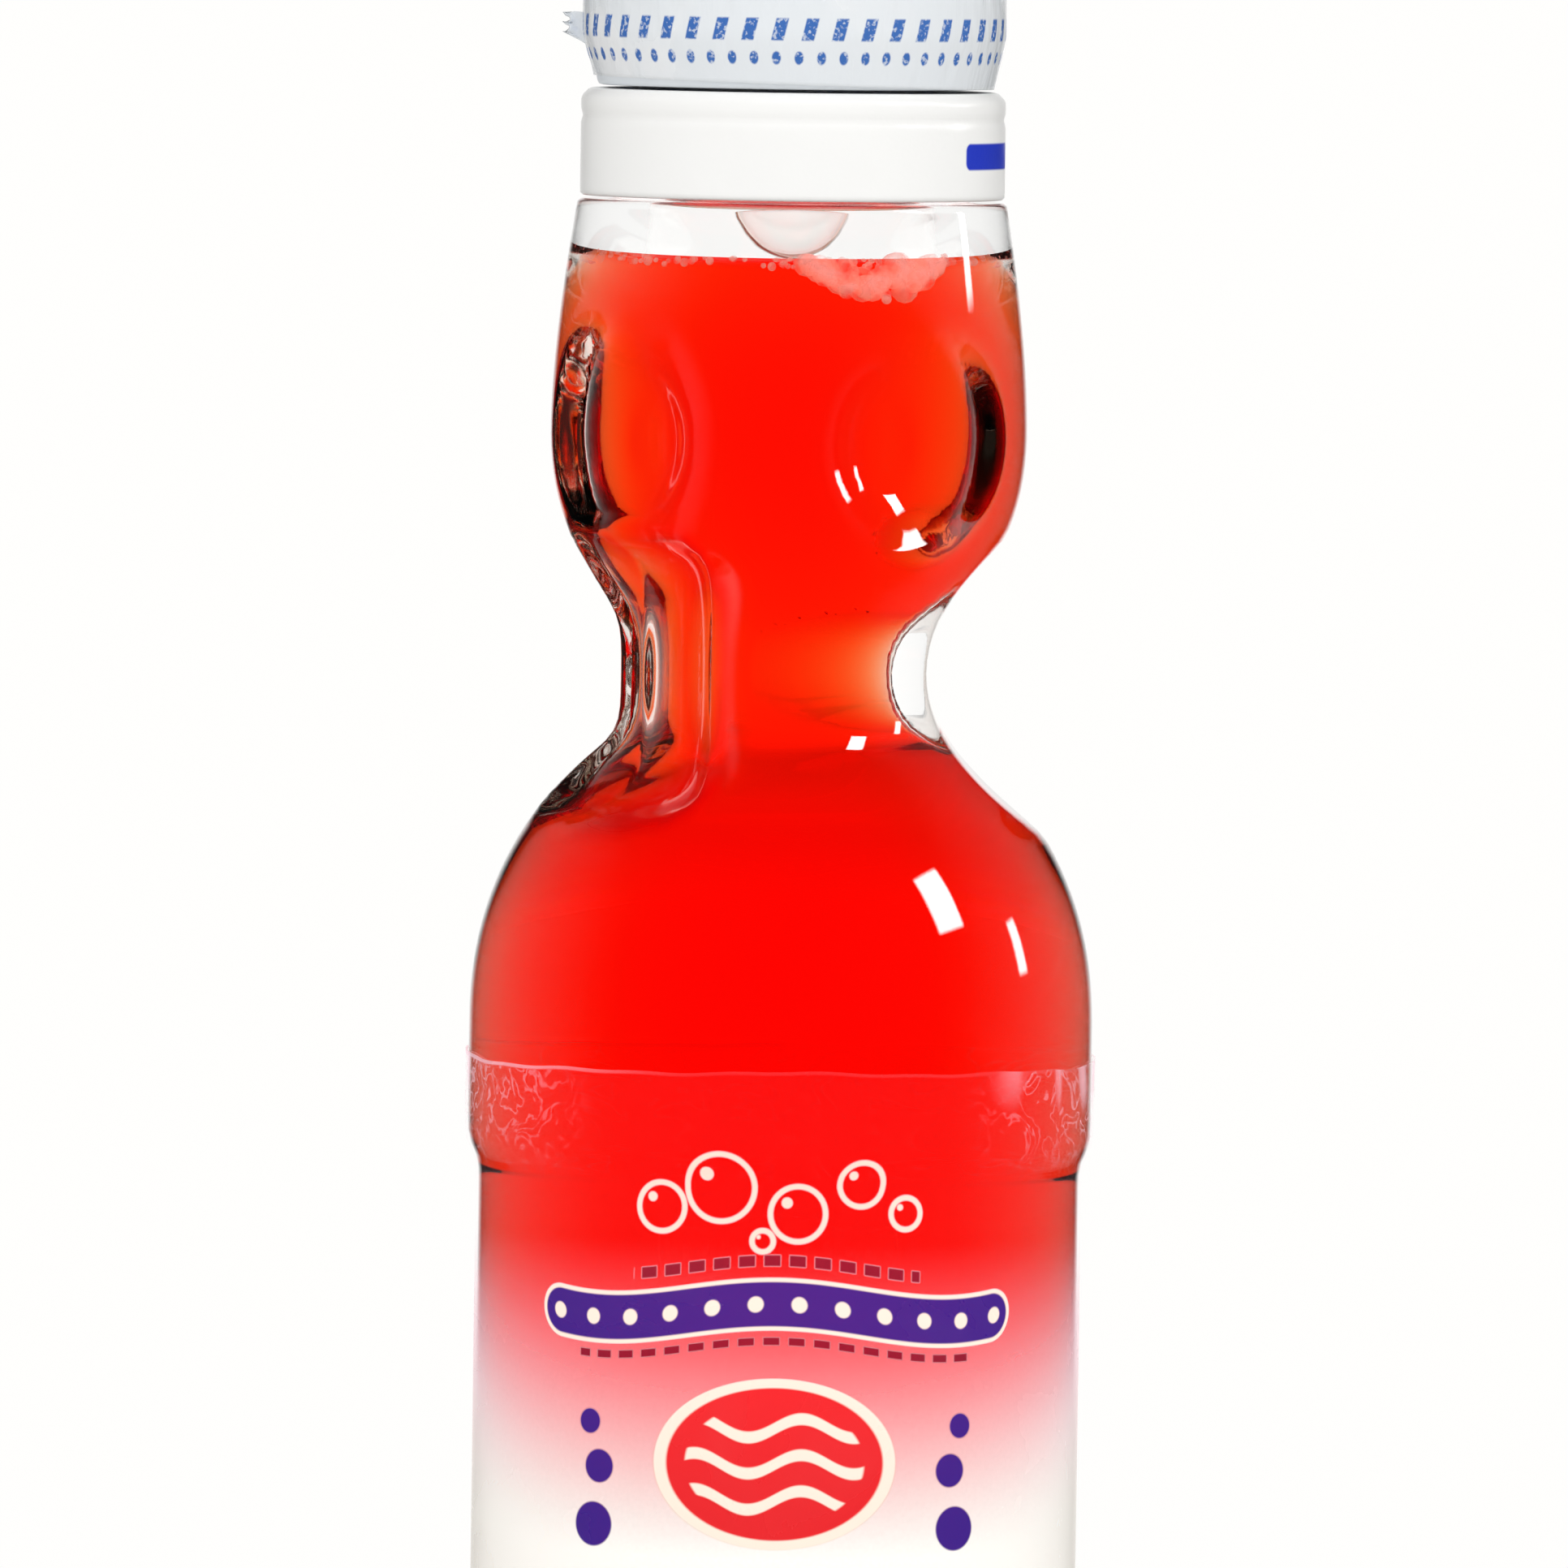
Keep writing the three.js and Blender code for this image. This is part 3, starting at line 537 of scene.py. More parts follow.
# %% [markdown]
# ## The mouthpiece
# A white moulding snaps over the bead of the glass: a skirt, a top plate with a raised lip round the mouth,
# and a plug that reaches into the bore and keeps the gasket in its pocket. Tubes and discs could be joined
# by booleans, but one closed outline turned round the axis has no seams. The corners of the drawing are
# softened as a mould softens them.

# %% Mouthpiece
CAP, SKIRT_LOW, PLATE_LOW, PLATE_TOP, PLATE_CHAMFER, LIP_TOP = 20.2, 180.4, 188.6, 190.6, 0.8, 193.0
SKIRT_INSIDE, SNAP, SNAP_TOP, LIP, LIP_EDGE, MOUTH = 18.4, 16.9, 182.4, 12.4, 11.6, 6.9
POCKET, POCKET_TOP, LEDGE, LEDGE_TOP, LEDGE_LOW = 9.9, 191.1, 9.1, 188.3, 187.3
PLUG, PLUG_LOW = 13.1, 185.0
CAP_GROOVE, CAP_GROOVE_HALF, CAP_GROOVE_DEPTH = 188.0, 0.5, 0.25
MOULD_SOFTNESS = 0.18

mouthpiece_corners = np.array(
    [
        [(CAP + SNAP) / 2, SKIRT_LOW], [CAP, SKIRT_LOW],
        [CAP, CAP_GROOVE - CAP_GROOVE_HALF], [CAP - CAP_GROOVE_DEPTH, CAP_GROOVE],
        [CAP, CAP_GROOVE + CAP_GROOVE_HALF],
        [CAP, PLATE_TOP - PLATE_CHAMFER], [CAP - PLATE_CHAMFER, PLATE_TOP],
        [LIP, PLATE_TOP], [LIP_EDGE, LIP_TOP], [MOUTH, LIP_TOP], [MOUTH, POCKET_TOP], [POCKET, POCKET_TOP],
        [POCKET, LEDGE_TOP], [LEDGE, LEDGE_TOP], [LEDGE, LEDGE_LOW], [POCKET, PLUG_LOW], [PLUG, PLUG_LOW],
        [PLUG, PLATE_LOW], [SKIRT_INSIDE, PLATE_LOW], [SKIRT_INSIDE, SNAP_TOP], [SNAP, SNAP_TOP],
        [SNAP, SKIRT_LOW],
    ]
)
white_mouthpiece = ring_piece("white_mouthpiece", mouthpiece_corners, MOULD_SOFTNESS)
seat(white_mouthpiece, "bottle", "mouthpiece")

# %% [markdown]
# ## The opener
# The opener stands on the mouthpiece, wrapped in the seal film: a ring with a plunger in it. Once unwrapped,
# the plunger breaks off six small nubs and its post pushes the marble down. Nubs and ribs could be bevelled
# cubes. As superellipsoids they are grids like all the rest: spheres whose sines and cosines are raised to
# a small power, so that they fill out towards a box.

# %% Opener ring
RING, RING_FOOT, RING_LOW, RING_TAPER_TOP, RING_TOP, RING_BORE = 19.7, 18.6, 190.9, 195.9, 204.3, 17.7
NUBS, NUB_SIZE, NUB_MIDDLE, NUB_TIP = 6, (0.6, 0.8, 0.6), 202.7, 17.5
OPENER_SOFTNESS, OPENER_STEP = 0.2, 0.4
BLOCK_POWER, BLOCK_ROWS, BLOCK_COLUMNS = 0.3, 13, 24


def fuller(wave):
    """A sine or cosine raised to a small power, with its sign kept."""
    return np.sign(wave) * np.abs(wave) ** BLOCK_POWER


def rounded_block(half, distance, height, turn):
    """A superellipsoid with half sizes along its radius, across it and up, at a distance from the axis."""
    lift = np.linspace(-np.pi / 2, np.pi / 2, BLOCK_ROWS)[:, None]
    way = ring_of(BLOCK_COLUMNS)[None, :]
    radial = distance + half[0] * fuller(np.cos(lift)) * fuller(np.cos(way))
    sideways = half[1] * fuller(np.cos(lift)) * fuller(np.sin(way))
    upright = height + half[2] * fuller(np.sin(lift)) * np.ones_like(way)
    x = radial * np.cos(turn) - sideways * np.sin(turn)
    y = radial * np.sin(turn) + sideways * np.cos(turn)
    return np.stack([x, y, upright], axis=-1) * MM


ring_corners = np.array(
    [
        [(RING_FOOT + RING_BORE) / 2, RING_LOW], [RING_FOOT, RING_LOW], [RING, RING_TAPER_TOP],
        [RING, RING_TOP], [RING_BORE, RING_TOP], [RING_BORE, RING_LOW],
    ]
)
ring_path = softened([ring_corners, ring_corners[:1]], OPENER_SOFTNESS, OPENER_STEP)
nub_turns = np.arange(NUBS) * 2 * np.pi / NUBS
nubs = [rounded_block(NUB_SIZE, NUB_TIP + NUB_SIZE[0], NUB_MIDDLE, turn) for turn in nub_turns]
ring_body = piece_from_grids("ring_body", [turned(ring_path[:, :1], closure_angle, ring_path[:, 1:]), *nubs])
seat(ring_body, "opener", "opener_ring")

# %% Plunger
DISC, DISC_LOW, DISC_TOP, DISC_RIM, DISC_DISH = 17.35, 201.5, 203.9, 2.0, 0.8
POST, POST_LOW, POST_CHAMFER = 4.6, 193.48, 0.8
RIBS, RIB_SIZE, RIB_MIDDLE, RIB_DROP = 4, (5.65, 0.7, 0.9), 7.95, 0.1

plunger_corners = np.array(
    [
        [0, POST_LOW], [POST - POST_CHAMFER, POST_LOW], [POST, POST_LOW + POST_CHAMFER], [POST, DISC_LOW],
        [DISC, DISC_LOW], [DISC, DISC_TOP], [DISC - DISC_RIM, DISC_TOP],
        [DISC - DISC_RIM - DISC_DISH, DISC_TOP - DISC_DISH], [0, DISC_TOP - DISC_DISH],
    ]
)
plunger_path = softened([plunger_corners], OPENER_SOFTNESS, OPENER_STEP)
rib_turns = np.pi / 4 + np.arange(RIBS) * 2 * np.pi / RIBS
ribs = [rounded_block(RIB_SIZE, RIB_MIDDLE, DISC_LOW - RIB_DROP, turn) for turn in rib_turns]
plunger_body = piece_from_grids(
    "plunger_body", [turned(plunger_path[:, :1], closure_angle, plunger_path[:, 1:]), *ribs]
)
seat(plunger_body, "plunger", "plunger")

# %% [markdown]
# ## Seal film and tear strip
# A crinkled film hugs the ring and folds in over its top edge. A strip down its left side, with a ragged
# tab, tears it open. A boolean could cut the strip out of a whole film, but two grids on one outline keep
# even faces up to the cuts. The film runs round from one straight cut to the other: at each radius the
# cut's angle is the arcsine of half its width over the radius. The strip takes up the width between them.

# %% Seal film
SEAL_FOOT, SEAL, SEAL_TOP, SEAL_OPENING = 19.1, 20.2, 204.8, 14.5
SEAL_PATH = [[SEAL_FOOT, RING_LOW], [SEAL, RING_TAPER_TOP], [SEAL, SEAL_TOP], [SEAL_OPENING, SEAL_TOP]]
SEAL_THICKNESS, SEAL_SOFTNESS, SEAL_STEP = 0.25, 0.35, 0.4
SLOT_HALF, STRIP_HALF = 4.3, 4.0
STRIP_SIDE = math.radians(-90.0)
CREASE_DEPTH, SLOW_DEPTH, FOLD_SAG = 0.14, 0.05, 0.18
FOLD_RISE, FACE_HEIGHTS, FACE_RADII = (196.0, 204.0), (204.2, 204.75), (20.0, 18.5)
HEM_TILT, HEM_TOP = 0.9, 195.0
SEAL_COLUMNS, STRIP_COLUMNS = 300, 26

seal_path = softened([SEAL_PATH], SEAL_SOFTNESS, SEAL_STEP)


def creased(radius, angle, height):
    """Crinkles of shrunk film: swung sines dent the wall, most near the fold, and sag the fold's face."""
    fold = ease(height, *FOLD_RISE)
    wave = np.sin(34 * angle + 4 * np.sin(5 * angle) + 0.8 * height) * np.sin(11 * angle + 0.5 * height + 1.0)
    slow = np.sin(5 * angle + 0.45 * height) * np.sin(2 * angle + 0.7)
    dent = CREASE_DEPTH * (0.5 + 0.5 * wave) * (0.25 + 0.75 * fold) + SLOW_DEPTH * (0.5 + 0.5 * slow)
    on_top = ease(height, *FACE_HEIGHTS) * ease(radius, *FACE_RADII)
    sag = FOLD_SAG * on_top * (0.5 + 0.5 * np.sin(41 * angle + 3 * np.sin(6 * angle)))
    hem = HEM_TILT * (0.5 - 0.5 * np.sin(angle - CAMERA_TURN)) * (1 - ease(height, RING_LOW, HEM_TOP))
    return turned(radius - dent * (1 - on_top), angle, height - sag + hem)


share = np.linspace(0, 1, SEAL_COLUMNS)[None, :]
cut = np.arcsin(SLOT_HALF / seal_path[:, :1])
seal_angle = STRIP_SIDE + cut + share * (2 * np.pi - 2 * cut)
seal_grid = creased(seal_path[:, :1], seal_angle, seal_path[:, 1:])
seal_wrap = piece_from_grids("seal_wrap", [seal_grid], is_round=False, is_shut=False)
thicken(seal_wrap, SEAL_THICKNESS)
seat(seal_wrap, "film", "seal_film")

# %% Tear strip
TAB_START, TAB_REACH, TAB_TOP, TAB_HEIGHT, TAB_TAPER = 20.05, 2.2, 197.7, 3.0, 0.25
TAB_ROWS, TAB_COLUMNS = 14, 12

tear_share = np.linspace(-1, 1, STRIP_COLUMNS)[None, :]
strip_angle = STRIP_SIDE + np.arcsin(STRIP_HALF / seal_path[:, :1]) * tear_share
strip_grid = creased(seal_path[:, :1], strip_angle, seal_path[:, 1:])

# The tab is a sheet that runs out from the strip and narrows, and sines make its edges ragged towards the tip
out = np.linspace(0, 1, TAB_COLUMNS)[None, :]
down = np.linspace(1, 0, TAB_ROWS)[:, None]
ragged = 0.5 * np.sin(9 * down + 1) * np.sin(23 * down) * out
tab_x = -(TAB_START + TAB_REACH * out * (0.85 + 0.15 * np.sin(17 * down)) + 0.2 * ragged)
tab_y = 0.35 * np.sin(3 * out + 2 * down) * out + 0 * down
tab_z = TAB_TOP - TAB_HEIGHT * down * (1 - TAB_TAPER * out) + 0.25 * ragged
tab_grid = np.stack([tab_x, tab_y, tab_z], axis=-1) * MM
tear_strip = piece_from_grids("tear_strip", [strip_grid, tab_grid], is_round=False, is_shut=False)
thicken(tear_strip, SEAL_THICKNESS)
seat(tear_strip, "tear_strip", "seal_tear_strip")

# %% [markdown]
# ## Nodes as formulas
# Finishes are node trees. They could be clicked together, but the prints below take hundreds of small sums.
# So a wire stands for one output socket, and Python's own signs put Math nodes between wires: `a - b` adds
# a Subtract node and is the wire from it. A finish then reads as the formula that it is.

# %% Wires


class Wire:
    """An output socket and its tree. Sums of wires and numbers become Math nodes."""

    def __init__(self, tree, socket):
        self.tree, self.socket = tree, socket

    def __add__(self, other):
        return calc("ADD", self, other)

    def __sub__(self, other):
        return calc("SUBTRACT", self, other)

    def __rsub__(self, other):
        return calc("SUBTRACT", other, self)

    def __mul__(self, other):
        return calc("MULTIPLY", self, other)

    def __truediv__(self, other):
        return calc("DIVIDE", self, other)

    def __pow__(self, other):
        return calc("POWER", self, other)

    def __abs__(self):
        return calc("ABSOLUTE", self)


print("wires take the signs + - * / ** and abs()")

# %% From nodes to wires


def add(tree, kind, sockets=None, **settings):
    """Adds a node of a kind, sets its options, and wires or sets its input sockets."""
    made = tree.nodes.new(kind)
    for option, value in settings.items():
        setattr(made, option, value)
    for socket, value in (sockets or {}).items():
        if isinstance(value, Wire):
            tree.links.new(value.socket, made.inputs[socket])
        else:
            made.inputs[socket].default_value = value
    return made


def wires(node, tree):
    """The wires from all outputs of a node, by name."""
    return {socket.name: Wire(tree, socket) for socket in node.outputs}


def wire(tree, kind, sockets=None, output=0, **settings):
    """Adds a node and returns the wire from one of its outputs."""
    return Wire(tree, add(tree, kind, sockets, **settings).outputs[output])


def calc(operation, *values):
    """A Math node in the tree of its wires, with its wires and numbers in order."""
    tree = next(value.tree for value in values if isinstance(value, Wire))
    return wire(tree, "ShaderNodeMath", dict(enumerate(values)), operation=operation)


def feed(shader, socket, value):
    """Leads a wire to an input of a shader or of a group's end."""
    value.tree.links.new(value.socket, shader.inputs[socket])


print("wires are made and led by:", [helper.__name__ for helper in (add, wires, wire, calc, feed)])

# %% Node helpers


def ramp(value, low, high, start=0.0, end=1.0):
    """Eases from start to end while the value goes from low to high."""
    sockets = {"Value": value, "From Min": low, "From Max": high, "To Min": start, "To Max": end}
    return wire(value.tree, "ShaderNodeMapRange", sockets, interpolation_type="SMOOTHSTEP")


def choose(mask, off, on):
    """One number where the mask is 0, another where it is 1."""
    return wire(mask.tree, "ShaderNodeMix", {0: mask, 2: off, 3: on})


def paint(ground, colour, mask):
    """A colour laid over the ground where the mask is 1."""
    return wire(mask.tree, "ShaderNodeMix", {0: mask, 6: ground, 7: colour}, 2, data_type="RGBA")


def place_of(tree):
    """The place on the object."""
    return wire(tree, "ShaderNodeTexCoord", output="Object")


def noise(place, scale, detail, distortion=0.0):
    """Clouds from 0 to 1."""
    sockets = {"Vector": place, "Scale": scale, "Detail": detail, "Distortion": distortion}
    return wire(place.tree, "ShaderNodeTexNoise", sockets)


def new_material(name, sockets):
    """A material with one Principled shader, its plain values set on its own sockets."""
    material = bpy.data.materials.new(name)
    material.use_nodes = True
    shader = material.node_tree.nodes["Principled BSDF"]
    for socket, value in sockets.items():
        shader.inputs[socket].default_value = value
    return material, material.node_tree, shader


def new_group(name, inputs, outputs):
    """An empty node group with float inputs and their defaults, and float outputs."""
    group = bpy.data.node_groups.new(name, "ShaderNodeTree")
    for socket, value in inputs.items():
        made = group.interface.new_socket(socket, in_out="INPUT", socket_type="NodeSocketFloat")
        made.default_value = value
    for socket in outputs:
        group.interface.new_socket(socket, in_out="OUTPUT", socket_type="NodeSocketFloat")
    return group, wires(add(group, "NodeGroupInput"), group), add(group, "NodeGroupOutput")


print("node helpers:", [helper.__name__ for helper in (ramp, choose, paint, place_of, noise)])

# %% [markdown]
# ### Two shared effects
# Prints on a bottle are laid out by the angle round it and the height up it. A UV map could hold both, but
# each piece would need its own, so one node group works them out from Object coordinates for every printed
# piece. The other group is what keeps moulded and poured surfaces from looking drawn by a computer: slow
# waves, fine grain, and smudges from handling.

# %% Shared groups
WAVE_SCALE, GRAIN_SCALE, SMUDGE_SCALE, SMUDGE_EDGES = 90.0, 1500.0, 70.0, (0.48, 0.72)

round_bottle, _, result = new_group("round_the_bottle", {}, ("Turn", "Height"))
axes = wires(add(round_bottle, "ShaderNodeSeparateXYZ", {0: place_of(round_bottle)}), round_bottle)
feed(result, "Turn", calc("ARCTAN2", axes["X"], axes["Y"] * -1.0))
feed(result, "Height", axes["Z"])

handled, given, result = new_group(
    "handled_surface", {"Wave Scale": WAVE_SCALE, "Grain Scale": GRAIN_SCALE}, ("Wave", "Grain", "Smudge")
)
place = place_of(handled)
feed(result, "Wave", noise(place, given["Wave Scale"], detail=1.0))
feed(result, "Grain", noise(place, given["Grain Scale"], detail=3.0))
feed(result, "Smudge", ramp(noise(place, SMUDGE_SCALE, detail=5.0, distortion=0.6), *SMUDGE_EDGES))


def surface_of(tree, wave_scale=WAVE_SCALE, grain_scale=GRAIN_SCALE):
    """Places the handled surface with its own scales, and returns its wires by name."""
    sockets = {"Wave Scale": wave_scale, "Grain Scale": grain_scale}
    return wires(add(tree, "ShaderNodeGroup", sockets, node_tree=handled), tree)


def layout_of(tree):
    """Places the bottle layout, and returns the angle round and the height up."""
    return wires(add(tree, "ShaderNodeGroup", node_tree=round_bottle), tree).values()


def bump(shader, height, depth):
    """Tilts the shader's normal by a height from 0 to 1 that stands for a depth in millimetres."""
    sockets = {"Strength": 1.0, "Distance": depth * MM, "Height": height}
    feed(shader, "Normal", wire(height.tree, "ShaderNodeBump", sockets))


def roughen(shader, mask, least, share):
    """The shader's roughness: its least value plus a share of a mask."""
    feed(shader, "Roughness", mask * share + least)


print("shared groups:", [group.name for group in bpy.data.node_groups])

# %% [markdown]
# ## Glass, soda and marble
# Glass is a Principled shader with full transmission. Its mould leaves slow waves in the surface, which a
# weak bump carries, and fingers leave it a little duller in places. Where glass meets soda hardly any light
# is thrown back, so the wetted wall and the soda have a black specular tint. A red surface could stand for
# the dye, but then thin and deep parts would look alike. Instead absorption swallows green and blue over a
# few millimetres, so that thin edges stay salmon and the middle is orange red, as a dyed drink is.

# %% Glass finishes
CLEAR = {"Transmission Weight": 1.0, "Roughness": 0.0}
UNMIRRORED = {"Specular Tint": (0, 0, 0, 1)}
GLASS = {"Base Color": (0.992, 0.996, 0.994, 1), "IOR": 1.52}
WETTED_FROM, UPWARD = 10.0, 0.9


def clear_finish(name, sockets, wave_scale, depth, smudge=0.0):
    """A clear material whose surface waves by a depth in millimetres, dulled in patches as fingers do."""
    material, tree, shader = new_material(name, CLEAR | sockets)
    bump(shader, surface_of(tree, wave_scale=wave_scale)["Wave"], depth)
    if smudge:
        feed(shader, "Roughness", surface_of(tree)["Smudge"] * smudge)
    return material


glass = clear_finish("bottle_glass", GLASS, wave_scale=120.0, depth=0.03, smudge=0.02)
wet_glass = clear_finish("wetted_glass", GLASS | UNMIRRORED, wave_scale=120.0, depth=0.02)
bottle_wall.data.materials.append(glass)
bottle_wall.data.materials.append(wet_glass)

faces = len(bottle_wall.data.polygons)
middles, normals = np.empty(faces * 3), np.empty(faces * 3)
bottle_wall.data.polygons.foreach_get("center", middles)
bottle_wall.data.polygons.foreach_get("normal", normals)
middles, normals = middles.reshape(-1, 3), normals.reshape(-1, 3)
faces_in = (middles[:, :2] * normals[:, :2]).sum(axis=1) < 0
in_soda = (middles[:, 2] > WETTED_FROM * MM) & (middles[:, 2] < SODA_LEVEL * MM)
wetted = (faces_in | (normals[:, 2] > UPWARD)) & in_soda
bottle_wall.data.polygons.foreach_set("material_index", wetted.astype(np.int32))
print("glass:", glass.name, "and", wet_glass.name, "on", wetted.sum(), "of", faces, "faces")

# %% Soda, froth and marble finishes
DYE_COLOUR, DYE_DENSITY = (0.999, 0.44, 0.0, 1), 265.0
SODA = {"Base Color": (1, 1, 1, 1), "IOR": 1.333}
# The froth's emission is painted light: a faint pink glow of its own that stands for light scattered within
# the foam
FROTH_COLOUR, FROTH_PAINTED_GLOW = (0.95, 0.50, 0.44, 1), (1.0, 0.36, 0.30, 1)
FROTH = {"Base Color": FROTH_COLOUR, "Emission Color": FROTH_PAINTED_GLOW, "Emission Strength": 0.38}
FROTH_COVER, FROTH_CLOUDS = (0.08, 0.5), (0.35, 0.65)
MARBLE_GLASS = {"Base Color": (0.95, 0.985, 0.975, 1), "IOR": 1.52}

soda = clear_finish("red_soda", SODA | UNMIRRORED, wave_scale=160.0, depth=0.01)
dye = wire(soda.node_tree, "ShaderNodeVolumeAbsorption", {"Color": DYE_COLOUR, "Density": DYE_DENSITY})
feed(soda.node_tree.nodes["Material Output"], "Volume", dye)
soda_fill.data.materials.append(soda)

froth, tree, shader = new_material("soda_froth", FROTH)
surface = surface_of(tree, wave_scale=700.0, grain_scale=4000.0)
feed(shader, "Alpha", ramp(surface["Wave"], *FROTH_CLOUDS, *FROTH_COVER))
roughen(shader, surface["Grain"], least=0.1, share=0.2)
soda_froth.data.materials.append(froth)

marble = clear_finish("marble_glass", MARBLE_GLASS, wave_scale=200.0, depth=0.02, smudge=0.04)
glass_marble.data.materials.append(marble)
print("clear finishes:", soda.name, froth.name, marble.name)

# %% [markdown]
# ## The label's print
# The film is clear at the top and fades to white ink lower down, so the drink shows through where the ink
# is thin. Ink that lets a share of light through looks denser on a slant, because the light crosses more of
# it: the share that passes is raised to the power of one over the cosine. For the light from behind that
# soaks through the ink, the ink has a faint painted glow, and seen from within the bottle it covers less.
# The motifs are plain ones: rising bubbles, a waved ribbon, ovals and dots. An image could carry them, but
# masks worked out from distances on the unrolled sleeve stay sharp however near the camera comes.

# %% Motif helpers
LABEL_RADIUS = 28.9 * MM
SOFT = 0.12 * MM


def repeat(turn, count, shift=0.0):
    """The distance round the sleeve from the nearest of count equally spaced lines."""
    turns = turn * (count / (2 * math.pi)) + shift
    return (calc("FRACT", turns) - 0.5) * (2 * math.pi * LABEL_RADIUS / count)


def distance(across, up):
    """The length of the two sides of a right angle."""
    return calc("SQRT", across**2.0 + up**2.0)


def within(value, reach, soft=SOFT):
    """1 where the value is less than the reach, with a soft edge."""
    return ramp(value, reach + soft, reach - soft)


def above(height, level):
    """How far a point lies above a level in millimetres."""
    return height - level * MM


def most(*masks):
    """The largest of several masks."""
    result = masks[0]
    for mask in masks[1:]:
        result = calc("MAXIMUM", result, mask)
    return result


def ringed(value, *reaches):
    """The masks of several reaches, in millimetres, round the same middle."""
    return [within(value, reach * MM) for reach in reaches]


print("the sleeve unrolls to", round(2 * math.pi * LABEL_RADIUS / MM), "mm")

# %% White ink
FACE = CAMERA_TURN
INK_START, INK_FULL, INK_MOST, INK_CURVE = 84.0 * MM, 53.0 * MM, 0.97, 1.85
MOTTLE, TONE_CHANGE = 0.1, (0.2, 0.95)
THIN_INK, FULL_INK = (0.97, 0.80, 0.96, 1), (0.985, 0.975, 0.96, 1)

label, tree, shader = new_material("sleeve_film", {"IOR": 1.5, "Roughness": 0.3, "Emission Strength": 1.0})
turn, height = layout_of(tree)
surface = surface_of(tree, wave_scale=350.0, grain_scale=2500.0)
across = repeat(turn, 1, 0.5 - FACE / (2 * math.pi))

# The ink fades in towards the foot
fade = wire(tree, "ShaderNodeMapRange", {"Value": height, "From Min": INK_START, "From Max": INK_FULL})
ground_cover = fade**INK_CURVE * INK_MOST * (surface["Grain"] * MOTTLE + (1 - MOTTLE / 2))
tone_change = ramp(fade, *TONE_CHANGE)
ground = paint(THIN_INK, FULL_INK, tone_change)
print("ink fades in from", INK_START / MM, "to", INK_FULL / MM, "mm")

# %% Bubbles
BUBBLES = (
    (-11.2, 86.0, 2.3), (-5.4, 88.0, 3.2), (1.9, 85.6, 2.6),
    (7.9, 88.4, 2.1), (12.4, 85.6, 1.5), (-1.4, 83.0, 1.0),
)
BUBBLE_RIM, SHINE_PLACE, SHINE_SIZE = 0.26, 0.4, 0.2

# Bubbles rise through the clear part: each is a ring with a spot of light in it
bubbles = 0.0
for bubble_across, bubble_height, size in BUBBLES:
    aside, up = across - bubble_across * MM, above(height, bubble_height)
    rim = within(abs(distance(aside, up) - size * MM), BUBBLE_RIM * MM)
    shift = SHINE_PLACE * size * MM
    bubbles = most(bubbles, rim, within(distance(aside + shift, up - shift), SHINE_SIZE * size * MM))
print("bubbles on the label:", len(BUBBLES))

# %% Ribbon and dashes
RIBBON_HEIGHT, RIBBON_HALF_LENGTH, RIBBON_HALF, RIBBON_RIM = 76.2, 22.4, 2.1, 2.5
SWAY, SWAY_RATE, RIBBON_DOTS, RIBBON_DOT = 0.9, 180.0, 44, 0.75
DASHES, DASH_HALF, DASH_ROWS = 76, 0.8, ((80.3, 0.55, 14.0), (72.7, 0.4, 20.0))

# A waved ribbon with round ends crosses the front, with cream dots on it and maroon dashes above and below
swayed = height - calc("COSINE", across * SWAY_RATE) * (SWAY * MM)
ribbon_up = above(swayed, RIBBON_HEIGHT)
past_end = most(abs(across) - RIBBON_HALF_LENGTH * MM, 0.0)
ribbon, ribbon_rim = ringed(distance(past_end, ribbon_up), RIBBON_HALF, RIBBON_RIM)
dots = within(distance(repeat(turn, RIBBON_DOTS), ribbon_up), RIBBON_DOT * MM) * ribbon
dash = within(abs(repeat(turn, DASHES)), DASH_HALF * MM)
rows = 0.0
for row_height, half_height, half_length in DASH_ROWS:
    row = within(abs(above(swayed, row_height)), half_height * MM) * within(abs(across), half_length * MM)
    rows = most(rows, row * dash)
print("rows of dashes:", len(DASH_ROWS))

# %% Ovals and dots
PANELS, PANEL_MIDDLE, FACE_HALF, BACK_DROP = 3, 62.0, 30.0, 24.0
OVAL_STRETCH, OVAL_RIM, OVAL, OVAL_INSIDE = 1.45, 8.1, 7.2, 5.9
WAVE_RATE, WAVE_RISE, WAVE_GAP, WAVE_HALF = 620.0, 0.9, 3.4, 0.55
COLUMN_PLACE, COLUMN_DOTS = 18.2, ((0.0, -6.3, 2.1), (-0.6, -0.8, 1.6), (0.5, 3.4, 1.2))
FOOT_BANDS = ((22.0, 3.0), (27.0, 0.5))

# Red ovals with cream rims and waves, one to a panel, with columns of indigo dots beside them
on_face = within(abs(across), FACE_HALF * MM)
panel_across = repeat(turn, PANELS, 0.5 - PANELS * FACE / (2 * math.pi))
panel_up = above(height, PANEL_MIDDLE) + ramp(on_face, 0.0, 1.0, BACK_DROP * MM, 0.0)
oval_rim, red_oval, oval_inside = ringed(
    distance(panel_across / OVAL_STRETCH, panel_up), OVAL_RIM, OVAL, OVAL_INSIDE
)
crest = abs(panel_up - calc("SINE", panel_across * WAVE_RATE) * (WAVE_RISE * MM))
trough = abs(crest - WAVE_GAP * MM)
waves = within(calc("MINIMUM", crest, trough), WAVE_HALF * MM) * oval_inside
beside = abs(panel_across) - COLUMN_PLACE * MM
small_dots = most(
    *(within(distance(beside - aside * MM, panel_up - up * MM), size * MM) for aside, up, size in COLUMN_DOTS)
)
foot_band, foot_line = (within(abs(above(height, level)), half * MM) for level, half in FOOT_BANDS)
print("label motifs use", len(tree.nodes), "nodes")

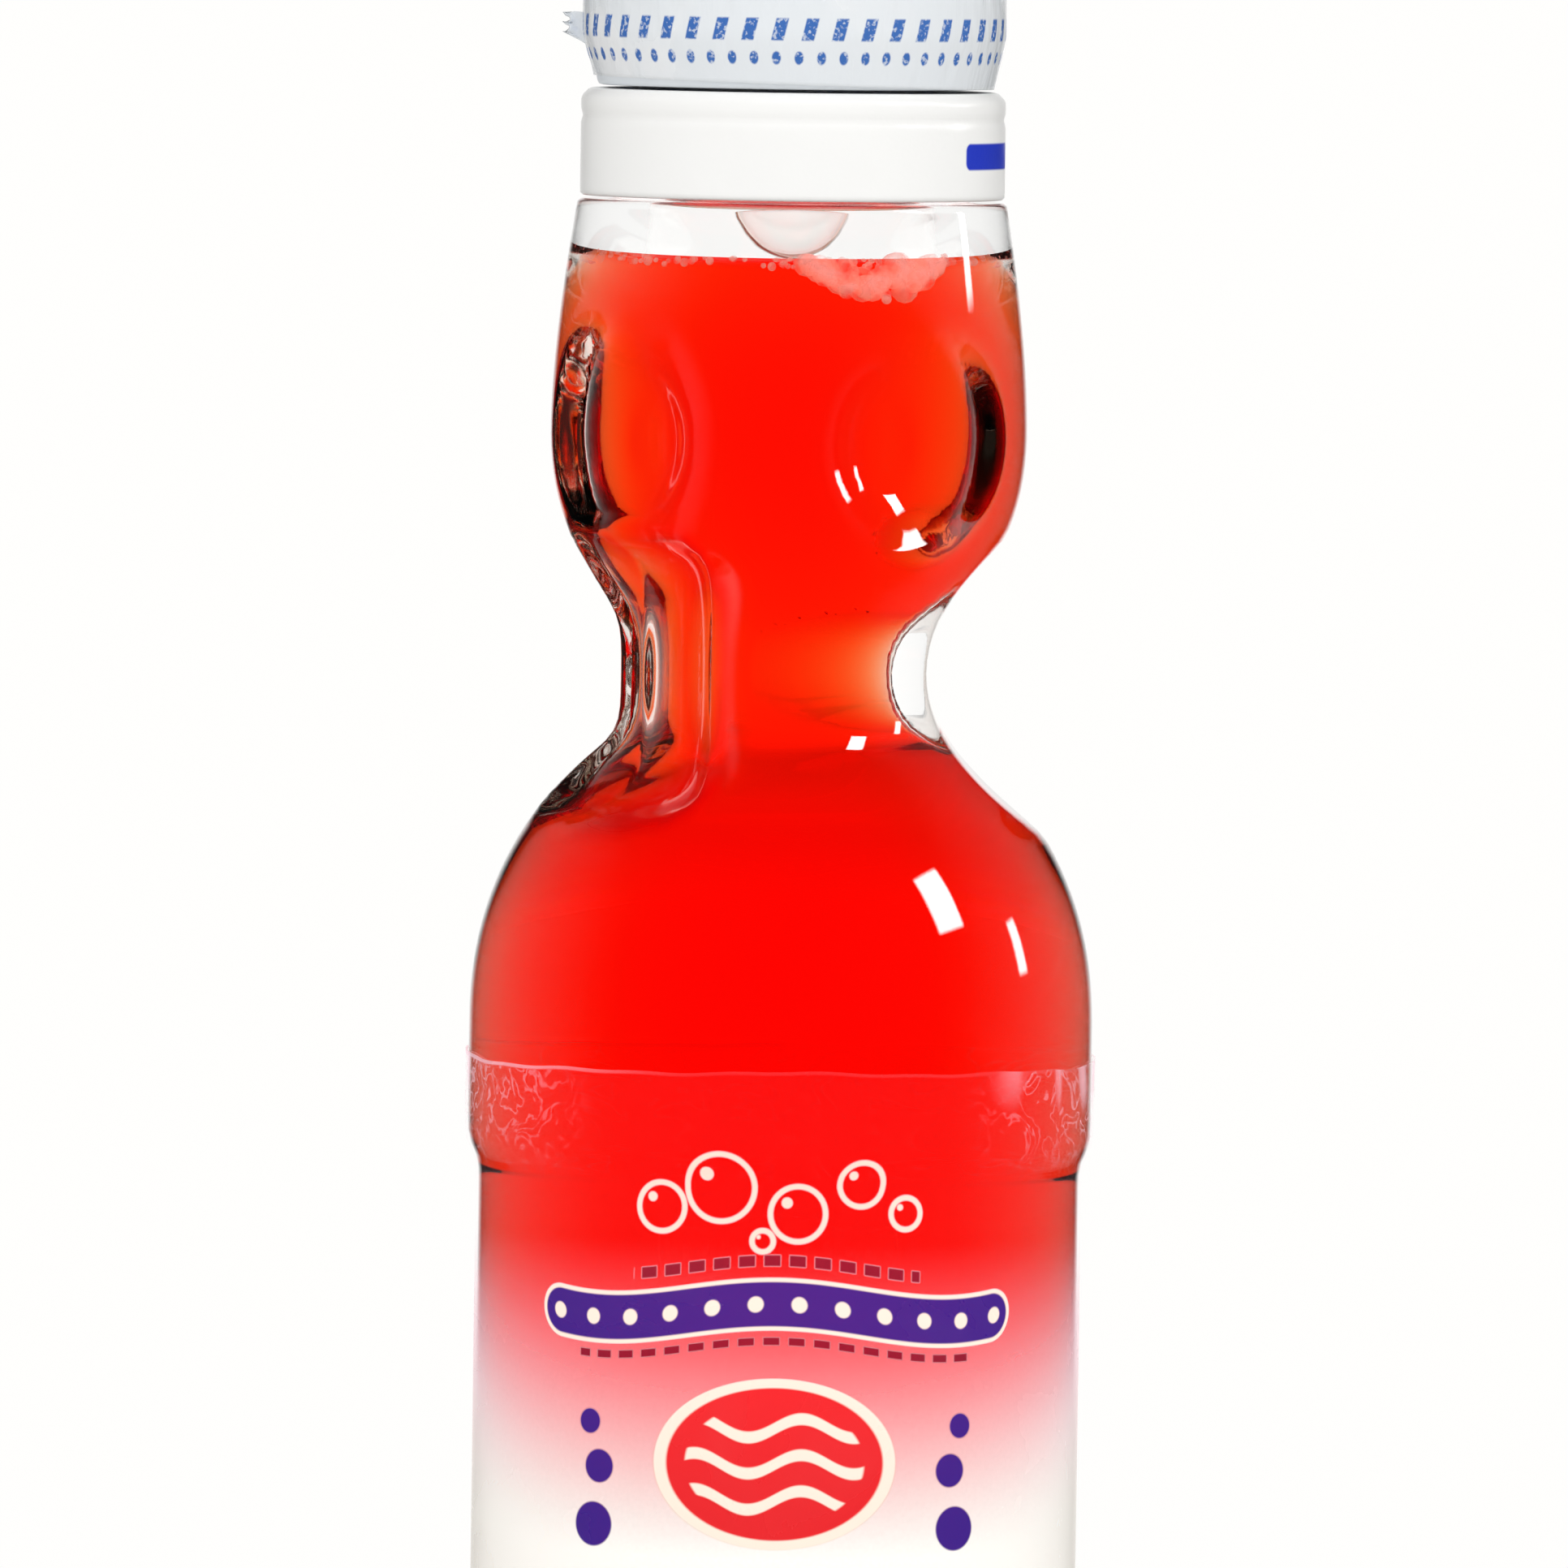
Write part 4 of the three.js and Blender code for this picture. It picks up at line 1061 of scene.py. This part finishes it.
# %% Inks
CREAM, INDIGO = (0.93, 0.84, 0.74, 1), (0.045, 0.012, 0.26, 1)
RED_INK, MAROON = (0.80, 0.012, 0.018, 1), (0.22, 0.006, 0.03, 1)
THIN_PAINTED_GLOW, FULL_PAINTED_GLOW = (0.34, 0.16, 0.13, 1), (0.14, 0.12, 0.09, 1)

ink = ground
for colour, mask in (
    (CREAM, most(bubbles, oval_rim, ribbon_rim)), (RED_INK, most(red_oval, foot_band)), (CREAM, waves),
    (INDIGO, most(ribbon, small_dots, foot_line)), (CREAM, dots), (MAROON, rows),
):
    ink = paint(ink, colour, mask)
feed(shader, "Base Color", ink)
# Painted glow: the film emits its ink's colour times a pink tint where the ink is thin and a pale one where
# it is full, for light from behind soaking through
glow = paint(THIN_PAINTED_GLOW, FULL_PAINTED_GLOW, tone_change)
glow = wire(tree, "ShaderNodeMix", {0: 1.0, 6: ink, 7: glow}, 2, data_type="RGBA", blend_type="MULTIPLY")
feed(shader, "Emission Color", glow)
print("label nodes with its inks:", len(tree.nodes))

# %% How much the film covers
LINE_COVER, SOLID_COVER, FILM_COVER = 0.85, 0.97, 0.003
EDGE_WIDTH, EDGE_SOFT, EDGE_SIDES, EDGE_HIGHLIGHT_COVER = 0.3, 0.1, (-8 * MM, -30 * MM), (0.02, 0.2)
FOLD_HIGHLIGHT_COVER, FOLD_CRESTS = 0.16, (0.45, 0.95)
CREASE_SCALE, CREASE_WIDTH, CREASE_HIGHLIGHT_COVER = 300.0, 0.035, 0.11
SHRUNK_SIDES, SHRUNK_BELOW = (17 * MM, 27 * MM), (13.0, 3.0)
BACKLIT_SHARE, LEAST_STRAIGHT = 0.25, 0.15
LINING = {"IOR": 1.5, "Base Color": (0.9, 0.9, 0.9, 1), "Alpha": 0.002}

# Painted highlights: extra white cover on the cut edge, more towards the left, and on the folds and creases
# below it stands for the light they catch
from_edge = wire(tree, "ShaderNodeAttribute", output="Fac", attribute_name="from_edge")
folds = wire(tree, "ShaderNodeAttribute", output="Fac", attribute_name="folds")
edge_highlight = within(from_edge, EDGE_WIDTH, EDGE_SOFT) * ramp(across, *EDGE_SIDES, *EDGE_HIGHLIGHT_COVER)
crease = abs(noise(place_of(tree), CREASE_SCALE, detail=2.0, distortion=1.2) - 0.5)
shrunk = ramp(abs(across), *SHRUNK_SIDES) * ramp(from_edge, *SHRUNK_BELOW)
crease_highlights = shrunk * ramp(crease, CREASE_WIDTH, 0.0, 0.0, CREASE_HIGHLIGHT_COVER)

# The thickest cover counts, and it is thicker on a slant
solid_ink = most(oval_rim, ribbon_rim, small_dots, foot_band, foot_line)
cover = most(ground_cover, bubbles * LINE_COVER, solid_ink * SOLID_COVER, rows * LINE_COVER)
cover = most(cover, edge_highlight, ramp(folds, *FOLD_CRESTS, 0.0, FOLD_HIGHLIGHT_COVER), crease_highlights, FILM_COVER)
facing = wire(tree, "ShaderNodeLayerWeight", {"Blend": 0.5}, "Facing")
from_inside = wire(tree, "ShaderNodeNewGeometry", output="Backfacing")
slant = ramp(from_inside, 0.0, 1.0, 1.0, BACKLIT_SHARE) / most(1.0 - facing, LEAST_STRAIGHT)
feed(shader, "Alpha", 1.0 - (1.0 - cover) ** slant)
roughen(shader, surface["Smudge"], least=0.26, share=0.12)
bump(shader, surface["Wave"], depth=0.02)
label_film.data.materials.append(label)

lining, tree, shader = new_material("sleeve_lining", LINING)
roughen(shader, surface_of(tree)["Smudge"], least=0.2, share=0.1)
label_film.data.materials.append(lining)
print("sleeve materials:", [material.name for material in label_film.data.materials])

# %% [markdown]
# ## Plastics and rubber
# The mouthpiece is glossy white, with one plain blue mark on its right side. The ring is a cooler and duller
# white, and the plunger is blue. All three are moulded, so they share a fine grain and the dullness of
# handling. Plastic that thin lets light soak through it. Subsurface scattering could show that, but it is
# slow to clear of noise, so the mouthpiece glows a little on the inside, where no lamp reaches. The gasket
# is soft pale rubber with a dusty bloom.

# %% Mouthpiece finish
WHITE = (0.93, 0.93, 0.92, 1)
MARK_TURN, MARK_HEIGHT, MARK_BLUE = math.radians(79.0), 184.65, (0.010, 0.035, 0.55, 1)
MARK_HALF_WIDTH, MARK_HALF_HEIGHT, MARK_CORNER = 5.9, 1.25, 0.7
SOAK_RADIUS, SOAKED_COLOUR, SOAKED_LIGHT = 18.6, (1.0, 0.99, 0.97, 1), 0.8
GRAIN_DEPTH, SMUDGE_SHADE, SMUDGE_SHARE = 0.012, 0.8, 0.06


def moulded(name, colour, roughness):
    """A moulded plastic: fine grain, and darker and duller where it was handled. Its tone is returned too."""
    material, tree, shader = new_material(name, {"Base Color": colour, "IOR": 1.48})
    surface = surface_of(tree, wave_scale=260.0, grain_scale=2200.0)
    roughen(shader, surface["Smudge"], least=roughness, share=0.14)
    bump(shader, surface["Grain"] + surface["Wave"], GRAIN_DEPTH)
    darker = tuple(SMUDGE_SHADE * channel for channel in colour[:3]) + (1,)
    tone = paint(colour, darker, ramp(surface["Smudge"], 0.0, 1.0, 0.0, SMUDGE_SHARE))
    feed(shader, "Base Color", tone)
    return material, tree, shader, tone


white, tree, shader, tone = moulded("white_plastic", WHITE, roughness=0.28)
turn, height = layout_of(tree)
past_side = abs((turn - MARK_TURN) * (CAP * MM)) - (MARK_HALF_WIDTH - MARK_CORNER) * MM
past_top = abs(above(height, MARK_HEIGHT)) - (MARK_HALF_HEIGHT - MARK_CORNER) * MM
mark = within(distance(most(past_side, 0.0), most(past_top, 0.0)), MARK_CORNER * MM)
feed(shader, "Base Color", paint(tone, MARK_BLUE, mark))
# Painted glow: faces inside the skirt and the plug, where no lamp reaches, emit a faint white light that
# stands for light soaked through the thin plastic
level_place = wire(tree, "ShaderNodeVectorMath", {0: place_of(tree), 1: (1, 1, 0)}, operation="MULTIPLY")
from_axis = wire(tree, "ShaderNodeVectorMath", {0: level_place}, "Value", operation="LENGTH")
painted_glow_inside = within(from_axis, SOAK_RADIUS * MM) * within(height, PLATE_LOW * MM)
feed(shader, "Emission Color", paint((0, 0, 0, 1), SOAKED_COLOUR, painted_glow_inside))
shader.inputs["Emission Strength"].default_value = SOAKED_LIGHT
white_mouthpiece.data.materials.append(white)
print("mouthpiece finish uses", len(tree.nodes), "nodes")

# %% Ring, plunger and gasket finishes
PALE, BLUE = (0.80, 0.84, 0.88, 1), (0.026, 0.095, 0.48, 1)
RUBBER, BLOOM = (0.72, 0.72, 0.68, 1), (0.84, 0.84, 0.82, 1)

for piece, name, colour, roughness in (
    (ring_body, "pale_plastic", PALE, 0.38), (plunger_body, "blue_plastic", BLUE, 0.32)
):
    piece.data.materials.append(moulded(name, colour, roughness)[0])

rubber, tree, shader = new_material("gasket_rubber", {"IOR": 1.5, "Specular IOR Level": 0.3})
surface = surface_of(tree, wave_scale=400.0, grain_scale=3000.0)
feed(shader, "Base Color", paint(RUBBER, BLOOM, surface["Grain"] * surface["Smudge"]))
roughen(shader, surface["Grain"], least=0.55, share=0.3)
bump(shader, surface["Grain"], depth=0.03)
rubber_gasket.data.materials.append(rubber)
print("finished:", [piece.name for piece in (ring_body, plunger_body, rubber_gasket)])

# %% [markdown]
# ## The seal film's finish
# The film is a milky, slightly silvery wrap printed in blue, with a border of slanted dashes above a row of
# dots. Its finest creases could be in the mesh, but they would take a far denser grid. A bump gives them
# instead: a noise stretched along the height, which makes the upright puckers of shrink film.

# %% Seal film finish
SEAL_DASHES, SEAL_DASH_HEIGHT, SEAL_DASH_HALF, SEAL_LEAN = 44, 196.6, (0.85, 1.05), 0.35
SEAL_DOTS, SEAL_DOT_HEIGHT, SEAL_DOT = 58, 193.9, 0.62
WORN_GRAIN, WORN_INK = (0.34, 0.5), (0.35, 1.0)
SEAL_BLUE, MILKY, MILKY_PALE = (0.05, 0.16, 0.50, 1), (0.80, 0.835, 0.87, 1), (0.88, 0.895, 0.915, 1)
PUCKER_SCALE, PUCKER_DEPTH = (520.0, 520.0, 120.0), 0.16

seal, tree, shader = new_material("seal_film", {"IOR": 1.5, "Coat Weight": 0.3, "Coat Roughness": 0.12})
turn, height = layout_of(tree)
surface = surface_of(tree, wave_scale=500.0, grain_scale=2600.0)
dash_up = above(height, SEAL_DASH_HEIGHT)
dash_across = abs(repeat(turn, SEAL_DASHES) - dash_up * SEAL_LEAN)
dash = within(dash_across, SEAL_DASH_HALF[0] * MM) * within(abs(dash_up), SEAL_DASH_HALF[1] * MM)
dot = within(distance(repeat(turn, SEAL_DOTS), above(height, SEAL_DOT_HEIGHT)), SEAL_DOT * MM)
print_mask = most(dash, dot) * ramp(surface["Grain"], *WORN_GRAIN, *WORN_INK)
feed(shader, "Base Color", paint(paint(MILKY, MILKY_PALE, surface["Smudge"]), SEAL_BLUE, print_mask))
roughen(shader, surface["Smudge"], least=0.22, share=0.15)
drawn = wire(tree, "ShaderNodeMapping", {"Vector": place_of(tree), "Scale": PUCKER_SCALE})
bump(shader, noise(drawn, 1.0, detail=3.0, distortion=0.8), PUCKER_DEPTH)
seal_wrap.data.materials.append(seal)
tear_strip.data.materials.append(seal)
print("seal film finish uses", len(tree.nodes), "nodes")

# %% [markdown]
# ## The studio
# The photograph is a white-ground product shot. A wide soft lamp and an even surround light every surface at
# a plain level. Glass also needs something to show: lit panels and dark cards could be modelled round it,
# but a surround that asks how each ray came to it leaves the plain light as it is. A ray that only passed
# through glass sees the white ground, a little brighter than the camera does, as in a picture exposed for
# the drink. One mirrored by the outside of the glass sees the room, which is dark but for its far end and
# two windows on the right. One mirrored within the glass sees the tent round the bottle: light behind it,
# and dark from its sides to the camera.

# %% Surround
AMBIENT, BEHIND_GLASS, ROOM_DARK, ROOM_LIGHT = 0.72, 1.12, 0.015, 1.0
ROOM_LIT_UNTIL, ROOM_DARK_FROM = -0.995, -0.93
TENT_LIT_UNTIL, TENT_DARK_FROM = -0.3, 0.4
GROUND_WHITE = (1.0, 0.995, 0.982, 1)
WINDOWS = (
    (math.radians(81.0), math.radians(32.0), 0.10, 0.15, 24.0),
    (math.radians(112.0), math.radians(13.0), 0.04, 0.10, 16.0),
)
PANE_SOFT, LEAST_DEPTH = 0.015, 0.01

world = bpy.data.worlds.new("studio")
bpy.context.scene.world = world
world.use_nodes = True
tree = world.node_tree
sight = wire(tree, "ShaderNodeTexCoord", output="Generated")


def towards(ray, vector):
    """How far a ray points along a direction."""
    return wire(ray.tree, "ShaderNodeVectorMath", {0: ray, 1: vector}, "Value", operation="DOT_PRODUCT")


def mirrored_rays(tree):
    """1 for rays that were mirrored and met no dull surface, with the wires of the light's path."""
    path = wires(add(tree, "ShaderNodeLightPath"), tree)
    is_mirrored = calc("GREATER_THAN", path["Glossy Depth"], 0.5)
    return is_mirrored * calc("LESS_THAN", path["Diffuse Depth"], 0.5), path


def room_and_tent(ray):
    """How bright the room and the tent are along a ray: light behind the bottle, dark towards the camera."""
    forward = towards(ray, direction(CAMERA_TURN, 0.0))
    room = ramp(forward, ROOM_LIT_UNTIL, ROOM_DARK_FROM, ROOM_LIGHT, ROOM_DARK)
    return room, ramp(forward, TENT_LIT_UNTIL, TENT_DARK_FROM, ROOM_LIGHT, ROOM_DARK)


def mirrored_level(path, room, tent):
    """The tent's brightness for rays that entered the glass, and the room's for those that didn't."""
    return choose(calc("GREATER_THAN", path["Transmission Depth"], 0.5), room, tent)


room, tent = room_and_tent(sight)
for window_turn, window_rise, half_width, half_height, brightness in WINDOWS:
    ahead = direction(window_turn, window_rise)
    level = ahead.cross(Vector((0, 0, 1))).normalized()
    depth = most(towards(sight, ahead), LEAST_DEPTH)
    across, up = (abs(towards(sight, side) / depth) for side in (level, level.cross(ahead)))
    pane = within(across, half_width, PANE_SOFT) * within(up, half_height, PANE_SOFT)
    room = most(room, pane * brightness)
mirrored, path = mirrored_rays(tree)
straight = choose(path["Is Camera Ray"], choose(path["Is Transmission Ray"], AMBIENT, BEHIND_GLASS), 1.0)
ground_light = tree.nodes["Background"]
ground_light.inputs["Color"].default_value = GROUND_WHITE
feed(ground_light, "Strength", choose(mirrored, straight, mirrored_level(path, room, tent)))
print("windows in the room:", len(WINDOWS))

# %% [markdown]
# The floor is a pale disc that keeps the bottle's shadow close by and gives way to the white ground further
# out, so that no horizon shows. A curved backdrop could hide the horizon too, but only from the front.
# Mirrored rays see each spot of the floor as bright as the room or the tent is in that direction. It rides
# on no body, so it isn't part of the object.

# %% Floor
FLOOR_RADIUS, FLOOR_FADE_START, FLOOR_FADE_END = 6.0, 0.12, 0.45
FLOOR_ROWS, FLOOR_COLUMNS = 24, 96

floor_radius = FLOOR_RADIUS / MM * np.linspace(0, 1, FLOOR_ROWS)[:, None] ** 2
floor_grid = turned(floor_radius, ring_of(FLOOR_COLUMNS)[None, :], np.zeros((FLOOR_ROWS, 1)))[::-1]
floor = piece_from_grids("pale_floor", [floor_grid], is_shut=False)
ground, tree, shader = new_material("pale_floor", {"Base Color": (0.93, 0.925, 0.91, 1), "Roughness": 0.9})
place = place_of(tree)
away = wire(tree, "ShaderNodeVectorMath", {0: place}, "Value", operation="LENGTH")
outwards = wire(tree, "ShaderNodeVectorMath", {0: place}, operation="NORMALIZE")
mirrored, path = mirrored_rays(tree)
far_level = choose(path["Is Transmission Ray"], 1.0, BEHIND_GLASS)
image_level = mirrored_level(path, *room_and_tent(outwards))
far, image = (
    wire(tree, "ShaderNodeEmission", {"Color": GROUND_WHITE, "Strength": strength})
    for strength in (far_level, image_level)
)
near = Wire(tree, shader.outputs[0])
plain = wire(tree, "ShaderNodeMixShader", {0: ramp(away, FLOOR_FADE_START, FLOOR_FADE_END), 1: near, 2: far})
seen = wire(tree, "ShaderNodeMixShader", {0: mirrored, 1: plain, 2: image})
feed(tree.nodes["Material Output"], "Surface", seen)
floor.data.materials.append(ground)
print("floor finish uses", len(tree.nodes), "nodes")

# %% [markdown]
# One wide lamp high in front gives the plastics and the label their soft shading. Several small ones could
# too, but each would throw a shadow of its own. The lamp is hidden from the camera and from the glass, which
# would show it as a square. Light is thrown to and fro inside thick glass, so it may turn more often than is
# usual before it is given up.

# %% Lamp and view
BOUNCES = 32
LAMP_TURN, LAMP_RISE = math.radians(15.0), math.radians(50.0)
LAMP_DISTANCE, LAMP_SIZE, LAMP_POWER, LAMP_AIM = 1.6, 1.2, 10.0, 0.1

lamp = bpy.data.objects.new("soft_lamp", bpy.data.lights.new("soft_lamp", "AREA"))
bpy.context.scene.collection.objects.link(lamp)
lamp.data.size = LAMP_SIZE
lamp.data.energy = LAMP_POWER
lamp_way = direction(LAMP_TURN, LAMP_RISE)
lamp.location = Vector((0, 0, LAMP_AIM)) + lamp_way * LAMP_DISTANCE
lamp.rotation_mode = "QUATERNION"
lamp.rotation_quaternion = (-lamp_way).to_track_quat("-Z", "Y")
lamp.visible_camera = False
lamp.visible_glossy = False
lamp.visible_transmission = False
bpy.context.scene.view_settings.view_transform = "Standard"
for kind in ("max_bounces", "glossy_bounces", "transmission_bounces", "transparent_max_bounces"):
    setattr(bpy.context.scene.cycles, kind, BOUNCES)
print("lamp at", [round(c, 2) for c in lamp.location])
